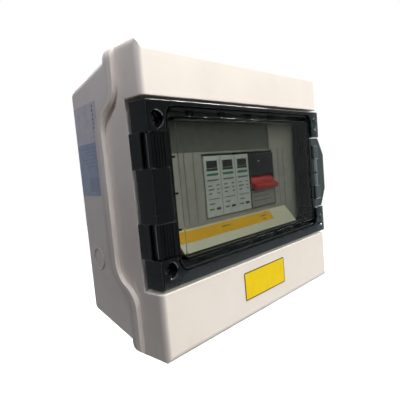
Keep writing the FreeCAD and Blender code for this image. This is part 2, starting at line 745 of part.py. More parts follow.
def make_window_frame():
    half_x = FRAME_HALF_X
    half_z = FRAME_HALF_Z
    back = FRAME_BACK_DEPTH
    door_z = WINDOW_Z + DOOR_CENTRE_Z
    opening_z = DOOR_RIM_HALF_Z + DOOR_GAP
    corner = DOOR_RIM_CORNER_R + DOOR_GAP
    ahead = at_depth(-AHEAD)
    frame = window_block(-half_x, half_x, -half_z, half_z, -FRAME_PROUD, back)
    frame = soften(frame, FRAME_EDGE_R,
                   lambda edge: edge_on_plane_y(edge, at_depth(-FRAME_PROUD)))
    opening = rounded_block(COLUMN_INNER_X, opening_z, corner, ahead,
                            at_depth(LEDGE_DEPTH), door_z)
    view = rounded_block(COLUMN_INNER_X - LEDGE_REACH, opening_z - LEDGE_REACH, PANE_CORNER_R,
                         ahead, 0, door_z)
    frame = frame.cut(opening).cut(view)
    for sign in (-1, 1):
        low = sign * (KNUCKLE_INNER_Z - HINGE_END_GAP)
        high = sign * BLOCK_INNER_Z
        frame = frame.cut(window_block(-FAR, -COLUMN_INNER_X, low, high,
                                       -AHEAD, SADDLE_FLOOR_DEPTH))
    frame = frame.cut(window_block(COLUMN_INNER_X, FAR, -BLOCK_INNER_Z, BLOCK_INNER_Z,
                                   -AHEAD, LATCH_BED_DEPTH))
    solids = [frame]
    for sign in (-1, 1):
        solids.append(hinge_saddle(sign))
        solids.append(latch_lug(sign))
        solids.append(window_block(COLUMN_INNER_X, half_x, sign * LATCH_INNER_Z,
                                   sign * LATCH_OUTER_Z, back - OVERSHOOT, RECESS_DEPTH))
    frame = fuse_all(solids)
    cuts = [pin_rod(PIN_R + PIN_CLEARANCE, sign) for sign in (-1, 1)]
    for x, z in screw_places():
        cuts.append(rod_y(WELL_R, x, z, ahead, at_depth(WELL_DEPTH)))
        cuts.append(well_lip(x, z))
        cuts.append(rod_y(SCREW_HOLE_R, x, z, FRONT, 0))
    core_front = WELL_DEPTH + FRAME_WALL
    for side in (-1, 1):
        for sign in (-1, 1):
            core = window_block(side * (COLUMN_INNER_X + FRAME_WALL),
                                side * (half_x - FRAME_WALL),
                                sign * (BLOCK_INNER_Z + FRAME_WALL),
                                sign * (half_z - FRAME_WALL), core_front, back + OVERSHOOT)
            seat = rod_y(SCREW_SEAL_R + FRAME_WALL / 2, side * SCREW_X,
                         WINDOW_Z + sign * SCREW_Z, FRONT, 0)
            cuts.append(core.cut(seat))
    return frame.cut(group(cuts))


def make_hinge_pin(sign):
    return pin_rod(PIN_R, sign)


def make_cover_screws():
    screws = []
    seat = at_depth(WELL_DEPTH)
    for x, z in screw_places():
        head = rod_y(SCREW_HEAD_R, x, z, seat - SCREW_HEAD_H, seat)
        shank = rod_y(SCREW_SHANK_R, x, z, seat, at_depth(SCREW_TIP_DEPTH))
        slot = box(x - SCREW_HEAD_R, x + SCREW_HEAD_R, seat - SCREW_HEAD_H,
                   seat - SCREW_HEAD_H + SCREW_SLOT_DEPTH,
                   z - SCREW_SLOT_WIDTH / 2, z + SCREW_SLOT_WIDTH / 2)
        cross = box(x - SCREW_SLOT_WIDTH / 2, x + SCREW_SLOT_WIDTH / 2, seat - SCREW_HEAD_H,
                    seat - SCREW_HEAD_H + SCREW_SLOT_DEPTH,
                    z - SCREW_CROSS_HALF, z + SCREW_CROSS_HALF)
        screws.append(head.fuse(shank).cut(slot).cut(cross))
    return group(screws)


def make_screw_seals():
    rings = []
    front = at_depth(FRAME_BACK_DEPTH)
    back = at_depth(RECESS_DEPTH)
    for x, z in screw_places():
        ring = rod_y(SCREW_SEAL_R, x, z, front, back)
        rings.append(ring.cut(rod_y(SCREW_HOLE_R, x, z, front, back)))
    return group(rings)


def make_boss_inserts():
    inserts = []
    start = BOSS_FRONT_DEPTH
    for x, z in screw_places():
        outer = rod_y(INSERT_R, x, z, at_depth(start), at_depth(start + INSERT_LENGTH))
        bore = rod_y(SCREW_SHANK_R, x, z, FRONT, 0)
        inserts.append(outer.cut(bore))
    return group(inserts)


# Hinged door

def door_ring(outer_inset, inner_inset, front, back):
    """Rounded ring in the door, inset from its rim, between two depths."""
    centre = WINDOW_Z + DOOR_CENTRE_Z
    outer = rounded_block(DOOR_RIM_HALF_X - outer_inset, DOOR_RIM_HALF_Z - outer_inset,
                          max(DOOR_RIM_CORNER_R - outer_inset, PANE_CORNER_R),
                          at_depth(front), at_depth(back), centre)
    inner = rounded_block(DOOR_RIM_HALF_X - inner_inset, DOOR_RIM_HALF_Z - inner_inset,
                          max(DOOR_RIM_CORNER_R - inner_inset, PANE_CORNER_R / 2),
                          at_depth(front) - OVERSHOOT, at_depth(back) + OVERSHOOT, centre)
    return outer.cut(inner)


def make_pane():
    inset = DOOR_RIM_WALL + CHANNEL_WIDTH
    centre = WINDOW_Z + DOOR_CENTRE_Z
    front = at_depth(-DOOR_PROUD)
    outer = rounded_block(DOOR_RIM_HALF_X - inset, DOOR_RIM_HALF_Z - inset, PANE_CORNER_R,
                          front, at_depth(DOOR_RIM_DEPTH), centre)
    outer = soften(outer, PANE_EDGE_R, lambda edge: edge_on_plane_y(edge, front))
    inner = rounded_block(DOOR_RIM_HALF_X - inset - PANE_WALL,
                          DOOR_RIM_HALF_Z - inset - PANE_WALL, PANE_CORNER_R / 2,
                          front + PANE_THICK, at_depth(DOOR_RIM_DEPTH) + OVERSHOOT, centre)
    return outer.cut(inner)


def channel_ribs():
    """Ribs that bridge the channel between the pane and the door's rim."""
    outer_x = DOOR_RIM_HALF_X - DOOR_RIM_WALL / 2
    outer_z = DOOR_RIM_HALF_Z - DOOR_RIM_WALL / 2
    inner_x = DOOR_RIM_HALF_X - DOOR_RIM_WALL - CHANNEL_WIDTH - PANE_WALL / 2
    inner_z = DOOR_RIM_HALF_Z - DOOR_RIM_WALL - CHANNEL_WIDTH - PANE_WALL / 2
    half = RIB_THICK / 2
    ribs = []
    for step in range(-RIB_STEPS, RIB_STEPS + 1):
        x = step * RIB_PITCH
        for sign in (-1, 1):
            ribs.append(window_block(x - half, x + half, DOOR_CENTRE_Z + sign * inner_z,
                                     DOOR_CENTRE_Z + sign * outer_z,
                                     RIB_DROP, DOOR_RIM_DEPTH))
    for step in range(-SIDE_RIB_STEPS, SIDE_RIB_STEPS + 1):
        z = step * SIDE_RIB_PITCH
        for side in (-1, 1):
            ribs.append(window_block(side * inner_x, side * outer_x, z - half, z + half,
                                     RIB_DROP, DOOR_RIM_DEPTH))
    return ribs


def hinge_knuckle(sign):
    low = WINDOW_Z + min(sign * KNUCKLE_INNER_Z, sign * KNUCKLE_OUTER_Z)
    high = WINDOW_Z + max(sign * KNUCKLE_INNER_Z, sign * KNUCKLE_OUTER_Z)
    barrel = rod_z(KNUCKLE_R, -HINGE_X, hinge_y(), low, high)
    front = hinge_y() - KNUCKLE_R
    arm = box(-HINGE_X, -DOOR_RIM_HALF_X + DOOR_RIM_WALL / 2, front,
              at_depth(DOOR_ARM_DEPTH), low, high)
    knuckle = barrel.fuse(arm)
    flutes = []
    for step in range(-FLUTES_OUTSIDE, FLUTES_INSIDE + 1):
        x = -HINGE_X + step * FLUTE_PITCH
        flutes.append(box(x - FLUTE_WIDTH / 2, x + FLUTE_WIDTH / 2, front - OVERSHOOT,
                          front + FLUTE_DEPTH, low - OVERSHOOT, high + OVERSHOOT))
    return knuckle.cut(group(flutes))


def finger_grip():
    """Trapezoid pull on the opening side with two hoods that cap the frame's lugs."""
    root = -DOOR_RIM_WALL / 2 + DOOR_RIM_HALF_X
    outline = [
        (root, WINDOW_Z - GRIP_ROOT_HALF),
        (GRIP_SHOULDER_X, WINDOW_Z - GRIP_ROOT_HALF),
        (GRIP_TIP_X, WINDOW_Z - GRIP_TIP_HALF),
        (GRIP_TIP_X, WINDOW_Z + GRIP_TIP_HALF),
        (GRIP_SHOULDER_X, WINDOW_Z + GRIP_ROOT_HALF),
        (root, WINDOW_Z + GRIP_ROOT_HALF),
    ]
    plate = profile_along_y(outline, at_depth(0), at_depth(GRIP_THICK))
    return soften(plate, GRIP_EDGE_R,
                  lambda edge: edge.BoundBox.XMin > GRIP_SHOULDER_X - TOLERANCE
                  and edge_on_plane_y(edge, at_depth(0)))


def latch_hood(sign, inset, front, back):
    return window_block(LATCH_X - LATCH_HALF_X + inset, LATCH_X + LATCH_HALF_X - inset,
                        sign * (LATCH_INNER_Z + inset), sign * (LATCH_OUTER_Z - inset),
                        front, back)


def make_window_door():
    channel = DOOR_RIM_WALL + CHANNEL_WIDTH
    solids = [
        make_pane(),
        door_ring(0, DOOR_RIM_WALL, 0, DOOR_RIM_DEPTH),
        door_ring(0, channel + PANE_WALL / 2, DOOR_RIM_DEPTH - CHANNEL_FLOOR_THICK,
                  DOOR_RIM_DEPTH),
    ]
    solids.extend(channel_ribs())
    hood_back = LATCH_BED_DEPTH - LATCH_CLEARANCE
    hollows = []
    for sign in (-1, 1):
        solids.append(hinge_knuckle(sign))
        hood = latch_hood(sign, 0, -LATCH_PROUD, hood_back)
        solids.append(soften(hood, LATCH_EDGE_R,
                             lambda edge: edge_on_plane_y(edge, at_depth(-LATCH_PROUD))))
        hollows.append(latch_hood(sign, LATCH_WALL, LATCH_WALL, hood_back + OVERSHOOT))
        hollows.append(pin_rod(PIN_R + PIN_CLEARANCE, sign))
    solids.append(finger_grip())
    bar = rod_z(GRIP_BAR_R, LATCH_X, at_depth(GRIP_THICK / 2),
                WINDOW_Z - LATCH_INNER_Z, WINDOW_Z + LATCH_INNER_Z)
    solids.append(bar)
    return fuse_all(solids).cut(group(hollows))


def make_door_seal():
    return door_ring(DOOR_RIM_WALL / 2, DOOR_RIM_WALL / 2 + SEAL_WIDTH,
                     DOOR_RIM_DEPTH + SEAL_GAP, LEDGE_DEPTH)


# Rail

def make_din_rail():
    face = at_depth(RAIL_FACE_DEPTH)
    back = at_depth(rail_back_depth())
    half = RAIL_WIDTH / 2
    web = RAIL_FLAT / 2
    sheet = RAIL_SHEET
    outline = [
        (face, half), (face, web - sheet), (back - sheet, web - sheet),
        (back - sheet, sheet - web), (face, sheet - web), (face, -half),
        (face + sheet, -half), (face + sheet, -web), (back, -web),
        (back, web), (face + sheet, web), (face + sheet, half),
    ]
    points = [(y, WINDOW_Z + z) for y, z in outline]
    rail = profile_along_x(points, -RAIL_LENGTH / 2, RAIL_LENGTH / 2)
    holes = [rod_y(RAIL_SCREW_R, side * RAIL_SCREW_X, WINDOW_Z, FRONT, 0) for side in (-1, 1)]
    return rail.cut(group(holes))


def make_rail_screws():
    seat = at_depth(rail_back_depth() - RAIL_SHEET)
    screws = []
    for side in (-1, 1):
        x = side * RAIL_SCREW_X
        head = rod_y(RAIL_HEAD_R, x, WINDOW_Z, seat - RAIL_HEAD_H, seat)
        shank = rod_y(RAIL_SCREW_R - SCREW_CLEARANCE, x, WINDOW_Z, seat,
                      seat + RAIL_SCREW_GRIP)
        slot = box(x - RAIL_HEAD_R, x + RAIL_HEAD_R, seat - RAIL_HEAD_H,
                   seat - RAIL_HEAD_H / 2, WINDOW_Z - SCREW_SLOT_WIDTH / 2,
                   WINDOW_Z + SCREW_SLOT_WIDTH / 2)
        screws.append(head.fuse(shank).cut(slot))
    return group(screws)


# Devices on the rail

def device_sides(left, modules):
    return left + SIDE_SLACK, left + modules * MODULE - SIDE_SLACK


def rail_claw(x0, x1):
    """Fixed claw that hooks over the upper flange of the rail."""
    edge = RAIL_WIDTH / 2
    hook_back = RAIL_FACE_DEPTH + RAIL_SHEET + CLAW_HOOK
    wall = window_block(x0, x1, edge, edge + CLAW_HEIGHT, RAIL_FACE_DEPTH, hook_back)
    hook = window_block(x0, x1, edge - CLAW_HOOK, edge + CLAW_HEIGHT,
                     RAIL_FACE_DEPTH + RAIL_SHEET, hook_back)
    return wall.fuse(hook)


def make_rail_clip(left, modules, height):
    """Sliding catch under the lower flange of the rail."""
    middle = left + modules * MODULE / 2
    x0 = middle - CLIP_LENGTH / 2
    x1 = middle + CLIP_LENGTH / 2
    edge = -RAIL_WIDTH / 2
    hook_back = RAIL_FACE_DEPTH + RAIL_SHEET + CLAW_HOOK
    tongue = window_block(x0, x1, -height / 2 - CLIP_HEIGHT, edge, RAIL_FACE_DEPTH, hook_back)
    hook = window_block(x0, x1, edge, edge + CLAW_HOOK, RAIL_FACE_DEPTH + RAIL_SHEET, hook_back)
    return tongue.fuse(hook)


def terminal_places(left, modules, height):
    for module in range(modules):
        for sign in (-1, 1):
            x = left + (module + 0.5) * MODULE
            yield x, WINDOW_Z + sign * (height / 2 - TERMINAL_INSET), sign


def terminal_cuts(left, modules, height):
    cuts = []
    for x, z, sign in terminal_places(left, modules, height):
        well_end = SHOULDER_DEPTH + TERMINAL_SINK + TERMINAL_HEAD_H
        cuts.append(rod_y(TERMINAL_R, x, z, at_depth(SHOULDER_DEPTH) - OVERSHOOT,
                          at_depth(well_end)))
        half = CABLE_ENTRY / 2
        outer_z = WINDOW_Z + sign * (height / 2 + OVERSHOOT)
        inner_z = WINDOW_Z + sign * (height / 2 - TERMINAL_INSET)
        cuts.append(box(x - half, x + half, at_depth(well_end), at_depth(well_end) + CABLE_ENTRY,
                        min(outer_z, inner_z), max(outer_z, inner_z)))
    return cuts


def make_terminal_screws(left, modules, height):
    screws = []
    front = at_depth(SHOULDER_DEPTH + TERMINAL_SINK)
    for x, z, sign in terminal_places(left, modules, height):
        radius = TERMINAL_R - SCREW_CLEARANCE
        head = rod_y(radius, x, z, front, front + TERMINAL_HEAD_H)
        slot = box(x - radius, x + radius, front, front + SCREW_SLOT_DEPTH,
                   z - SCREW_SLOT_WIDTH / 2, z + SCREW_SLOT_WIDTH / 2)
        screws.append(head.cut(slot))
    return group(screws)


def toggle_z():
    return WINDOW_Z + TOGGLE_Z


def make_breaker_body():
    x0, x1 = device_sides(BREAKER_LEFT, BREAKER_MODULE_COUNT)
    half = BREAKER_HEIGHT / 2
    nose = window_block(x0, x1, -NOSE_HEIGHT / 2, NOSE_HEIGHT / 2,
                     DEVICE_FACE_DEPTH, SHOULDER_DEPTH + OVERSHOOT)
    main = window_block(x0, x1, -half, half, SHOULDER_DEPTH, RAIL_FACE_DEPTH)
    body = fuse_all([nose, main, rail_claw(x0, x1)])
    y = at_depth(TOGGLE_AXIS_DEPTH)
    inner0 = x0 + TOGGLE_SIDE_WALL
    inner1 = x1 - TOGGLE_SIDE_WALL
    cavity = rod_x(TOGGLE_BARREL_R + TOGGLE_CLEARANCE, y, toggle_z(), inner0, inner1)
    slot = box(inner0, inner1, at_depth(DEVICE_FACE_DEPTH) - OVERSHOOT, y,
               toggle_z() - TOGGLE_SLOT_HALF, toggle_z() + TOGGLE_SLOT_HALF)
    bore = rod_x(TOGGLE_PIN_R, y, toggle_z(), x0 + TOGGLE_PIN_INSET, x1 - TOGGLE_PIN_INSET)
    cuts = [cavity, slot, bore] + terminal_cuts(BREAKER_LEFT, BREAKER_MODULE_COUNT, BREAKER_HEIGHT)
    for cut in cuts:
        body = body.cut(cut)
    return body


def make_breaker_toggle():
    x0, x1 = device_sides(BREAKER_LEFT, BREAKER_MODULE_COUNT)
    x0 = x0 + TOGGLE_SIDE_WALL + TOGGLE_CLEARANCE
    x1 = x1 - TOGGLE_SIDE_WALL - TOGGLE_CLEARANCE
    y = at_depth(TOGGLE_AXIS_DEPTH)
    barrel = rod_x(TOGGLE_BARREL_R, y, toggle_z(), x0, x1)
    root = TOGGLE_LEVER_ROOT / 2
    tip = TOGGLE_LEVER_TIP / 2
    outline = [
        (y, toggle_z() - root), (y - TOGGLE_LEVER_LENGTH, toggle_z() - tip),
        (y - TOGGLE_LEVER_LENGTH, toggle_z() + tip), (y, toggle_z() + root),
    ]
    lever = profile_along_x(outline, x0, x1)
    tip_y = y - TOGGLE_LEVER_LENGTH
    lever = soften(lever, TOGGLE_TIP_R, lambda edge: edge_on_plane_y(edge, tip_y)
                   and edge.BoundBox.XLength > TOGGLE_LEVER_LENGTH / 2)
    lever.rotate(V(0, y, toggle_z()), V(1, 0, 0), TOGGLE_OFF_ANGLE)
    bore = rod_x(TOGGLE_PIN_R + PIN_CLEARANCE, y, toggle_z(), x0 - OVERSHOOT, x1 + OVERSHOOT)
    return barrel.fuse(lever).removeSplitter().cut(bore)


def make_toggle_pin():
    x0, x1 = device_sides(BREAKER_LEFT, BREAKER_MODULE_COUNT)
    return rod_x(TOGGLE_PIN_R, at_depth(TOGGLE_AXIS_DEPTH), toggle_z(),
                 x0 + TOGGLE_PIN_INSET, x1 - TOGGLE_PIN_INSET)


def make_spd_base():
    x0, x1 = device_sides(SPD_LEFT, SPD_MODULE_COUNT)
    half = SPD_HEIGHT / 2
    main = window_block(x0, x1, -half, half, SHOULDER_DEPTH, RAIL_FACE_DEPTH)
    body = main.fuse(rail_claw(x0, x1)).removeSplitter()
    reach = NOSE_HEIGHT / 2 + CARTRIDGE_GAP
    pocket = window_block(x0 - OVERSHOOT, x1 + OVERSHOOT, -reach, reach, 0, CARTRIDGE_BACK)
    cuts = [pocket] + terminal_cuts(SPD_LEFT, SPD_MODULE_COUNT, SPD_HEIGHT)
    for cut in cuts:
        body = body.cut(cut)
    return body


def make_spd_cartridge(index):
    left = SPD_LEFT + index * MODULE
    x0 = left + CARTRIDGE_GAP
    x1 = left + MODULE - CARTRIDGE_GAP
    half = NOSE_HEIGHT / 2
    body = window_block(x0, x1, -half, half, DEVICE_FACE_DEPTH, CARTRIDGE_BACK)
    front = at_depth(DEVICE_FACE_DEPTH)
    body = soften(body, CARTRIDGE_EDGE_R, lambda edge: edge_on_plane_y(edge, front))
    middle = (x0 + x1) / 2
    window = window_block(middle - INDICATOR_WIDTH / 2, middle + INDICATOR_WIDTH / 2,
                       INDICATOR_Z - INDICATOR_HEIGHT / 2, INDICATOR_Z + INDICATOR_HEIGHT / 2,
                       0, DEVICE_FACE_DEPTH + INDICATOR_SINK)
    body = body.cut(window)
    for sign in (-1, 1):
        grip_depth = DEVICE_FACE_DEPTH + CARTRIDGE_GRIP_DEPTH
        notch = window_block(x0 + CARTRIDGE_GRIP_DEPTH, x1 - CARTRIDGE_GRIP_DEPTH,
                          sign * (half - CARTRIDGE_GRIP_SINK), sign * (half + OVERSHOOT),
                          grip_depth, grip_depth + CARTRIDGE_GRIP_SIZE)
        body = body.cut(notch)
    return body


# Blanking strips

def make_blanking_strip(side):
    inner = DEVICE_ROW_HALF + BLANK_GAP
    outer = APERTURE_HALF_X - BLANK_GAP
    x0, x1 = sorted((side * inner, side * outer))
    low = -APERTURE_BELOW
    high = APERTURE_ABOVE
    lip = window_block(x0, x1, low - BLANK_LIP, high + BLANK_LIP,
                    RECESS_DEPTH - BLANK_LIP_THICK, RECESS_DEPTH)
    body = window_block(x0, x1, low + BLANK_GAP, high - BLANK_GAP,
                     RECESS_DEPTH - BLANK_LIP_THICK, RECESS_DEPTH + BLANK_BODY)
    strip = lip.fuse(body).removeSplitter()
    step = MODULE / 2
    face = RECESS_DEPTH - BLANK_LIP_THICK
    for count in range(1, int((outer - inner) / step) + 1):
        x = side * (inner + count * step)
        if abs(x) < outer - BLANK_SCORE:
            score = window_block(x - BLANK_SCORE, x + BLANK_SCORE,
                                 low - BLANK_LIP - OVERSHOOT, high + BLANK_LIP + OVERSHOOT,
                                 face - OVERSHOOT, face + BLANK_SCORE)
            strip = strip.cut(score)
    return strip


# Earth bar

def earth_screw_places():
    for index in range(EARTH_SCREWS):
        yield (index - (EARTH_SCREWS - 1) / 2) * EARTH_PITCH


def earth_seat_depth():
    """Depth of the bar's back face on its holder."""
    return BOX_DEPTH - BASE_FLOOR - EARTH_HOLDER_FOOT


def earth_front():
    return at_depth(earth_seat_depth() - EARTH_BAR_DEPTH)


def make_earth_bar():
    half_x = EARTH_BAR_LENGTH / 2
    half_z = EARTH_BAR_HEIGHT / 2
    bar = box(-half_x, half_x, earth_front(), at_depth(earth_seat_depth()),
              EARTH_BAR_Z - half_z, EARTH_BAR_Z + half_z)
    cuts = []
    hole_y = earth_front() + EARTH_WIRE_DEPTH
    for x in earth_screw_places():
        cuts.append(rod_y(EARTH_SCREW_R + EARTH_CLEARANCE, x, EARTH_BAR_Z,
                          earth_front() - OVERSHOOT, hole_y))
        cuts.append(rod_z(EARTH_SCREW_R, x, hole_y, EARTH_BAR_Z - half_z - OVERSHOOT,
                          EARTH_BAR_Z + half_z + OVERSHOOT))
    for cut in cuts:
        bar = bar.cut(cut)
    return bar


def make_earth_bar_holder():
    half_x = EARTH_HOLDER_LENGTH / 2
    slot_z = EARTH_BAR_HEIGHT / 2 + EARTH_CLEARANCE
    half_z = slot_z + EARTH_HOLDER_WALL
    seat = at_depth(earth_seat_depth())
    front = seat - EARTH_HOLDER_GRIP
    block = box(-half_x, half_x, front, -BASE_FLOOR, EARTH_BAR_Z - half_z, EARTH_BAR_Z + half_z)
    slot = box(-half_x - OVERSHOOT, half_x + OVERSHOOT, front - OVERSHOOT, seat,
               EARTH_BAR_Z - slot_z, EARTH_BAR_Z + slot_z)
    arch = box(-half_x + EARTH_HOLDER_FOOT, half_x - EARTH_HOLDER_FOOT, seat + EARTH_HOLDER_WALL,
               OVERSHOOT - BASE_FLOOR, EARTH_BAR_Z - half_z - OVERSHOOT,
               EARTH_BAR_Z + half_z + OVERSHOOT)
    return block.cut(slot).cut(arch)


def make_earth_screws():
    screws = []
    front = earth_front() - EARTH_SCREW_HEIGHT
    end = earth_front() + EARTH_WIRE_DEPTH - EARTH_SCREW_R
    for x in earth_screw_places():
        body = rod_y(EARTH_SCREW_R, x, EARTH_BAR_Z, front, end)
        slot = box(x - EARTH_SCREW_R, x + EARTH_SCREW_R, front, front + SCREW_SLOT_DEPTH,
                   EARTH_BAR_Z - SCREW_SLOT_WIDTH / 2, EARTH_BAR_Z + SCREW_SLOT_WIDTH / 2)
        screws.append(body.cut(slot))
    return group(screws)


def main():
    os.makedirs("parts", exist_ok=True)
    save("rear_base", make_rear_base())
    save("front_cover", make_front_cover())
    save("rim_seal", make_rim_seal())
    save("window_frame", make_window_frame())
    save("window_door", make_window_door())
    save("door_seal", make_door_seal())
    save("hinge_pin_upper", make_hinge_pin(1))
    save("hinge_pin_lower", make_hinge_pin(-1))
    save("cover_screws", make_cover_screws())
    save("cover_screw_seals", make_screw_seals())
    save("boss_inserts", make_boss_inserts())
    save("din_rail", make_din_rail())
    save("din_rail_screws", make_rail_screws())
    save("breaker_body", make_breaker_body())
    save("breaker_toggle", make_breaker_toggle())
    save("breaker_toggle_pin", make_toggle_pin())
    save("breaker_rail_clip", make_rail_clip(BREAKER_LEFT, BREAKER_MODULE_COUNT, BREAKER_HEIGHT))
    save("breaker_terminal_screws",
         make_terminal_screws(BREAKER_LEFT, BREAKER_MODULE_COUNT, BREAKER_HEIGHT))
    save("spd_base", make_spd_base())
    for index, name in enumerate(("left", "middle", "right")):
        save("spd_cartridge_" + name, make_spd_cartridge(index))
    save("spd_rail_clip", make_rail_clip(SPD_LEFT, SPD_MODULE_COUNT, SPD_HEIGHT))
    save("spd_terminal_screws", make_terminal_screws(SPD_LEFT, SPD_MODULE_COUNT, SPD_HEIGHT))
    save("blanking_strip_left", make_blanking_strip(-1))
    save("blanking_strip_right", make_blanking_strip(1))
    save("earth_bar", make_earth_bar())
    save("earth_bar_holder", make_earth_bar_holder())
    save("earth_bar_screws", make_earth_screws())


main()
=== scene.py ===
"""Looks of the rail-mounted DC combiner box: materials, labels, light and camera."""

import math

import bmesh
import bpy
from mathutils import Matrix, Vector


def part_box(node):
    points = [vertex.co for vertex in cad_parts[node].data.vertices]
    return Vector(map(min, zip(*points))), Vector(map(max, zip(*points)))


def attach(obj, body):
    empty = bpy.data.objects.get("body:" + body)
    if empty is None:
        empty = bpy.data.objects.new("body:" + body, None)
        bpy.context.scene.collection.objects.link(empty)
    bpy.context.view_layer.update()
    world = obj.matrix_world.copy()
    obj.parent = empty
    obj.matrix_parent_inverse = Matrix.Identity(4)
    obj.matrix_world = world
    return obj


MM = 0.001
X = Vector((1, 0, 0))
Y = Vector((0, 1, 0))
Z = Vector((0, 0, 1))

# Camera, fitted to the photograph's outline
CAMERA_PLACE = (-0.2460, -0.2723, 0.0202)
CAMERA_AZIMUTH = -45.95
CAMERA_DOWN = 4.92
CAMERA_ROLL = -5.20
CAMERA_LENS = 34.39
CAMERA_SENSOR = 36.0
CAMERA_NEAR = 0.01

# Light: a warm lamp from the upper right, a low-angled one from the far right that draws the
# upper edges, a weak cool one in front, a cool one over the left side, a weak warm one behind
KEY_PLACE = (0.87, -1.06, 1.31)
KEY_SIZE = (0.45, 0.45)
KEY_POWER = 35.5
KEY_COLOUR = (1.0, 0.975, 0.94)
EDGE_PLACE = (0.98, -0.34, 0.95)
EDGE_SIZE = (0.1, 0.5)
EDGE_POWER = 8.5
FRONT_PLACE = (-0.06, -1.35, 0.62)
FRONT_SIZE = (0.2, 0.2)
FRONT_POWER = 7.0
FILL_PLACE = (-0.32, -0.12, 0.36)
FILL_SIZE = (0.1, 0.1)
FILL_POWER = 0.58
FILL_COLOUR = (0.88, 0.90, 1.0)
BACK_PLACE = (0.25, 1.3, 0.9)
BACK_SIZE = (0.6, 0.6)
BACK_POWER = 5.0
ROOM_ABOVE = (0.145, 0.143, 0.172, 1.0)
ROOM_BELOW = (0.030, 0.022, 0.018, 1.0)
ROOM_SPREAD = 0.8

# Dark screens round the box, which show only as reflections: side, centre, glow
SCREENS = (
    ("right", (0.95, -0.78, 0.0), 0.17),
    ("left", (-0.98, 0.66, 0.0), 0.15),
    ("behind", (-1.05, -0.85, 0.0), 0.20),
    ("front", (0.0, -1.15, -0.10), 0.15),
)
SCREEN_SIZE = (1.4, 0.9)
SCREEN_THICK = 0.01
SCREEN_CORNER = 0.02
SCREEN_WEAVE = 0.1
FLOOR_GLOW = (0.5, 1.0)
FLOOR_GLOW_REACH = (0.55, 1.0)
FLOOR_DROP = 0.6
FLOOR_HALF = 4.0
FLOOR_CORNER = 0.3
FLOOR_THICK = 0.02
STAGE_ROUGH = 0.9
STAGE_EDGE_SHARE = 0.25

# Places that the part's own sizes give, in metres
BOX_FRONT = -98.0 * MM
BOX_DEPTH = 98.0 * MM
WINDOW_Z = 5.0 * MM
FIELD_SIDES = (-80.0 * MM, 43.5 * MM)
FIELD_ENDS = (25.3 * MM, 47.0 * MM)
FIELD_DEPTH = 17.9 * MM
SLOPE_SIDES = (-78.0 * MM, 62.0 * MM)
SLOPE_ENDS = (-27.0 * MM, -40.6 * MM)
SLOPE_RISE = 11.0 * MM
RECESS_DEPTH = 16.4 * MM
BASE_FRONT_HALF = 105.5 * MM
BASE_TAPER = 10.25 * MM
BASE_FRONT_DEPTH = 26.1 * MM
DEVICE_FRONT = BOX_FRONT + 14.5 * MM
PANE_SIDES = (-87.0 * MM, 87.0 * MM)
PANE_ENDS = (-42.0 * MM, 57.0 * MM)
FOOT_ENDS = (-53.0 * MM, -42.0 * MM)
FRAME_SIDES = (90.8 * MM, 104.8 * MM)
FRAME_PROUD = 1.5 * MM
BLOCK_END = 38.3 * MM
GRIP_END = 32.5 * MM
LATCH_X = 97.5 * MM
HOOD_HALF = 4.5 * MM
HOOD_ENDS = (12.7 * MM, 25.3 * MM)
BAR_HALF = 2.6 * MM
BED_DEPTH = 8.4 * MM

# Smoked plastic: frost is the roughness, and satin the loss of clearness, where it is dull;
# the fade is where the frame's dull strip under the window ends
SMOKED_COLOUR = (0.215, 0.25, 0.215, 1.0)
SMOKED_DENSITY = 450.0
SMOKED_DARK = (0.05, 0.065, 0.07, 1.0)
SMOKED_PALE = (0.20, 0.26, 0.26, 1.0)
SMOKED_CLEAR = (1.0, 1.0, 1.0, 1.0)
# Painted reflection: pale tint of the bar between the latch hoods
SMOKED_BAR_PAINTED_REFLECTION = (0.62, 0.74, 0.70, 1.0)
SMOKED_SHEEN = (0.45, 0.48, 0.50, 1.0)
SMOKED_COAT = 0.08
SMOKED_IOR = 1.32
SMOKED_EDGE = 0.65 * MM
FROST = 0.35
SATIN = 0.24
BLOCK_SATIN = 0.9
FOOT_SATIN = 0.3
SATIN_FADE = (-47.0 * MM, -41.0 * MM)
HOOD_RIM = 0.8 * MM
BAR_NOTCH = 0.6 * MM
STOP_GAP = 0.4 * MM
STOP_EDGE = 1.1 * MM
STOP_SINK = 1.2 * MM
STOP_INSET = 0.02 * MM

# Ends of the noise that become the limits of a change of roughness, and of tone
NOISE_ENDS = (0.3, 0.7)
CLOUD_ENDS = (0.35, 0.7)

# Sizes of each material's patches and grain, and how far its painted shade reaches out of a
# corner
HOUSING_CLOUD = 38.0 * MM
HOUSING_SMEAR = 9.0 * MM
HOUSING_SHEEN = 5.0 * MM
HOUSING_WAVE = 14.0 * MM
HOUSING_GRAIN = 0.45 * MM
HOUSING_SHADE_REACH = 2.0 * MM
SMOKED_HAZE = 7.0 * MM
SMOKED_WAVE = 16.0 * MM
RUBBER_CLOUD = 3.0 * MM
RUBBER_SHEEN = 4.0 * MM
RUBBER_GRAIN = 0.5 * MM
METAL_CLOUD = 4.0 * MM
METAL_SHEEN = 2.0 * MM
METAL_GRAIN = 0.7 * MM
METAL_SHADE_REACH = 1.5 * MM
DEVICE_CLOUD = 6.0 * MM
DEVICE_SHEEN = 3.0 * MM
DEVICE_GRAIN = 0.35 * MM
MODULE_CLOUD = 5.0 * MM
SHADE_SHEET_CLOUD = 8.0 * MM
PLATE_CLOUD = 9.0 * MM
STRIP_CLOUD = 6.0 * MM
LABEL_CLOUD = 7.0 * MM
PAPER_SHEEN = 4.0 * MM
PAPER_GRAIN = 0.8 * MM
LABEL_GRAIN = 0.9 * MM

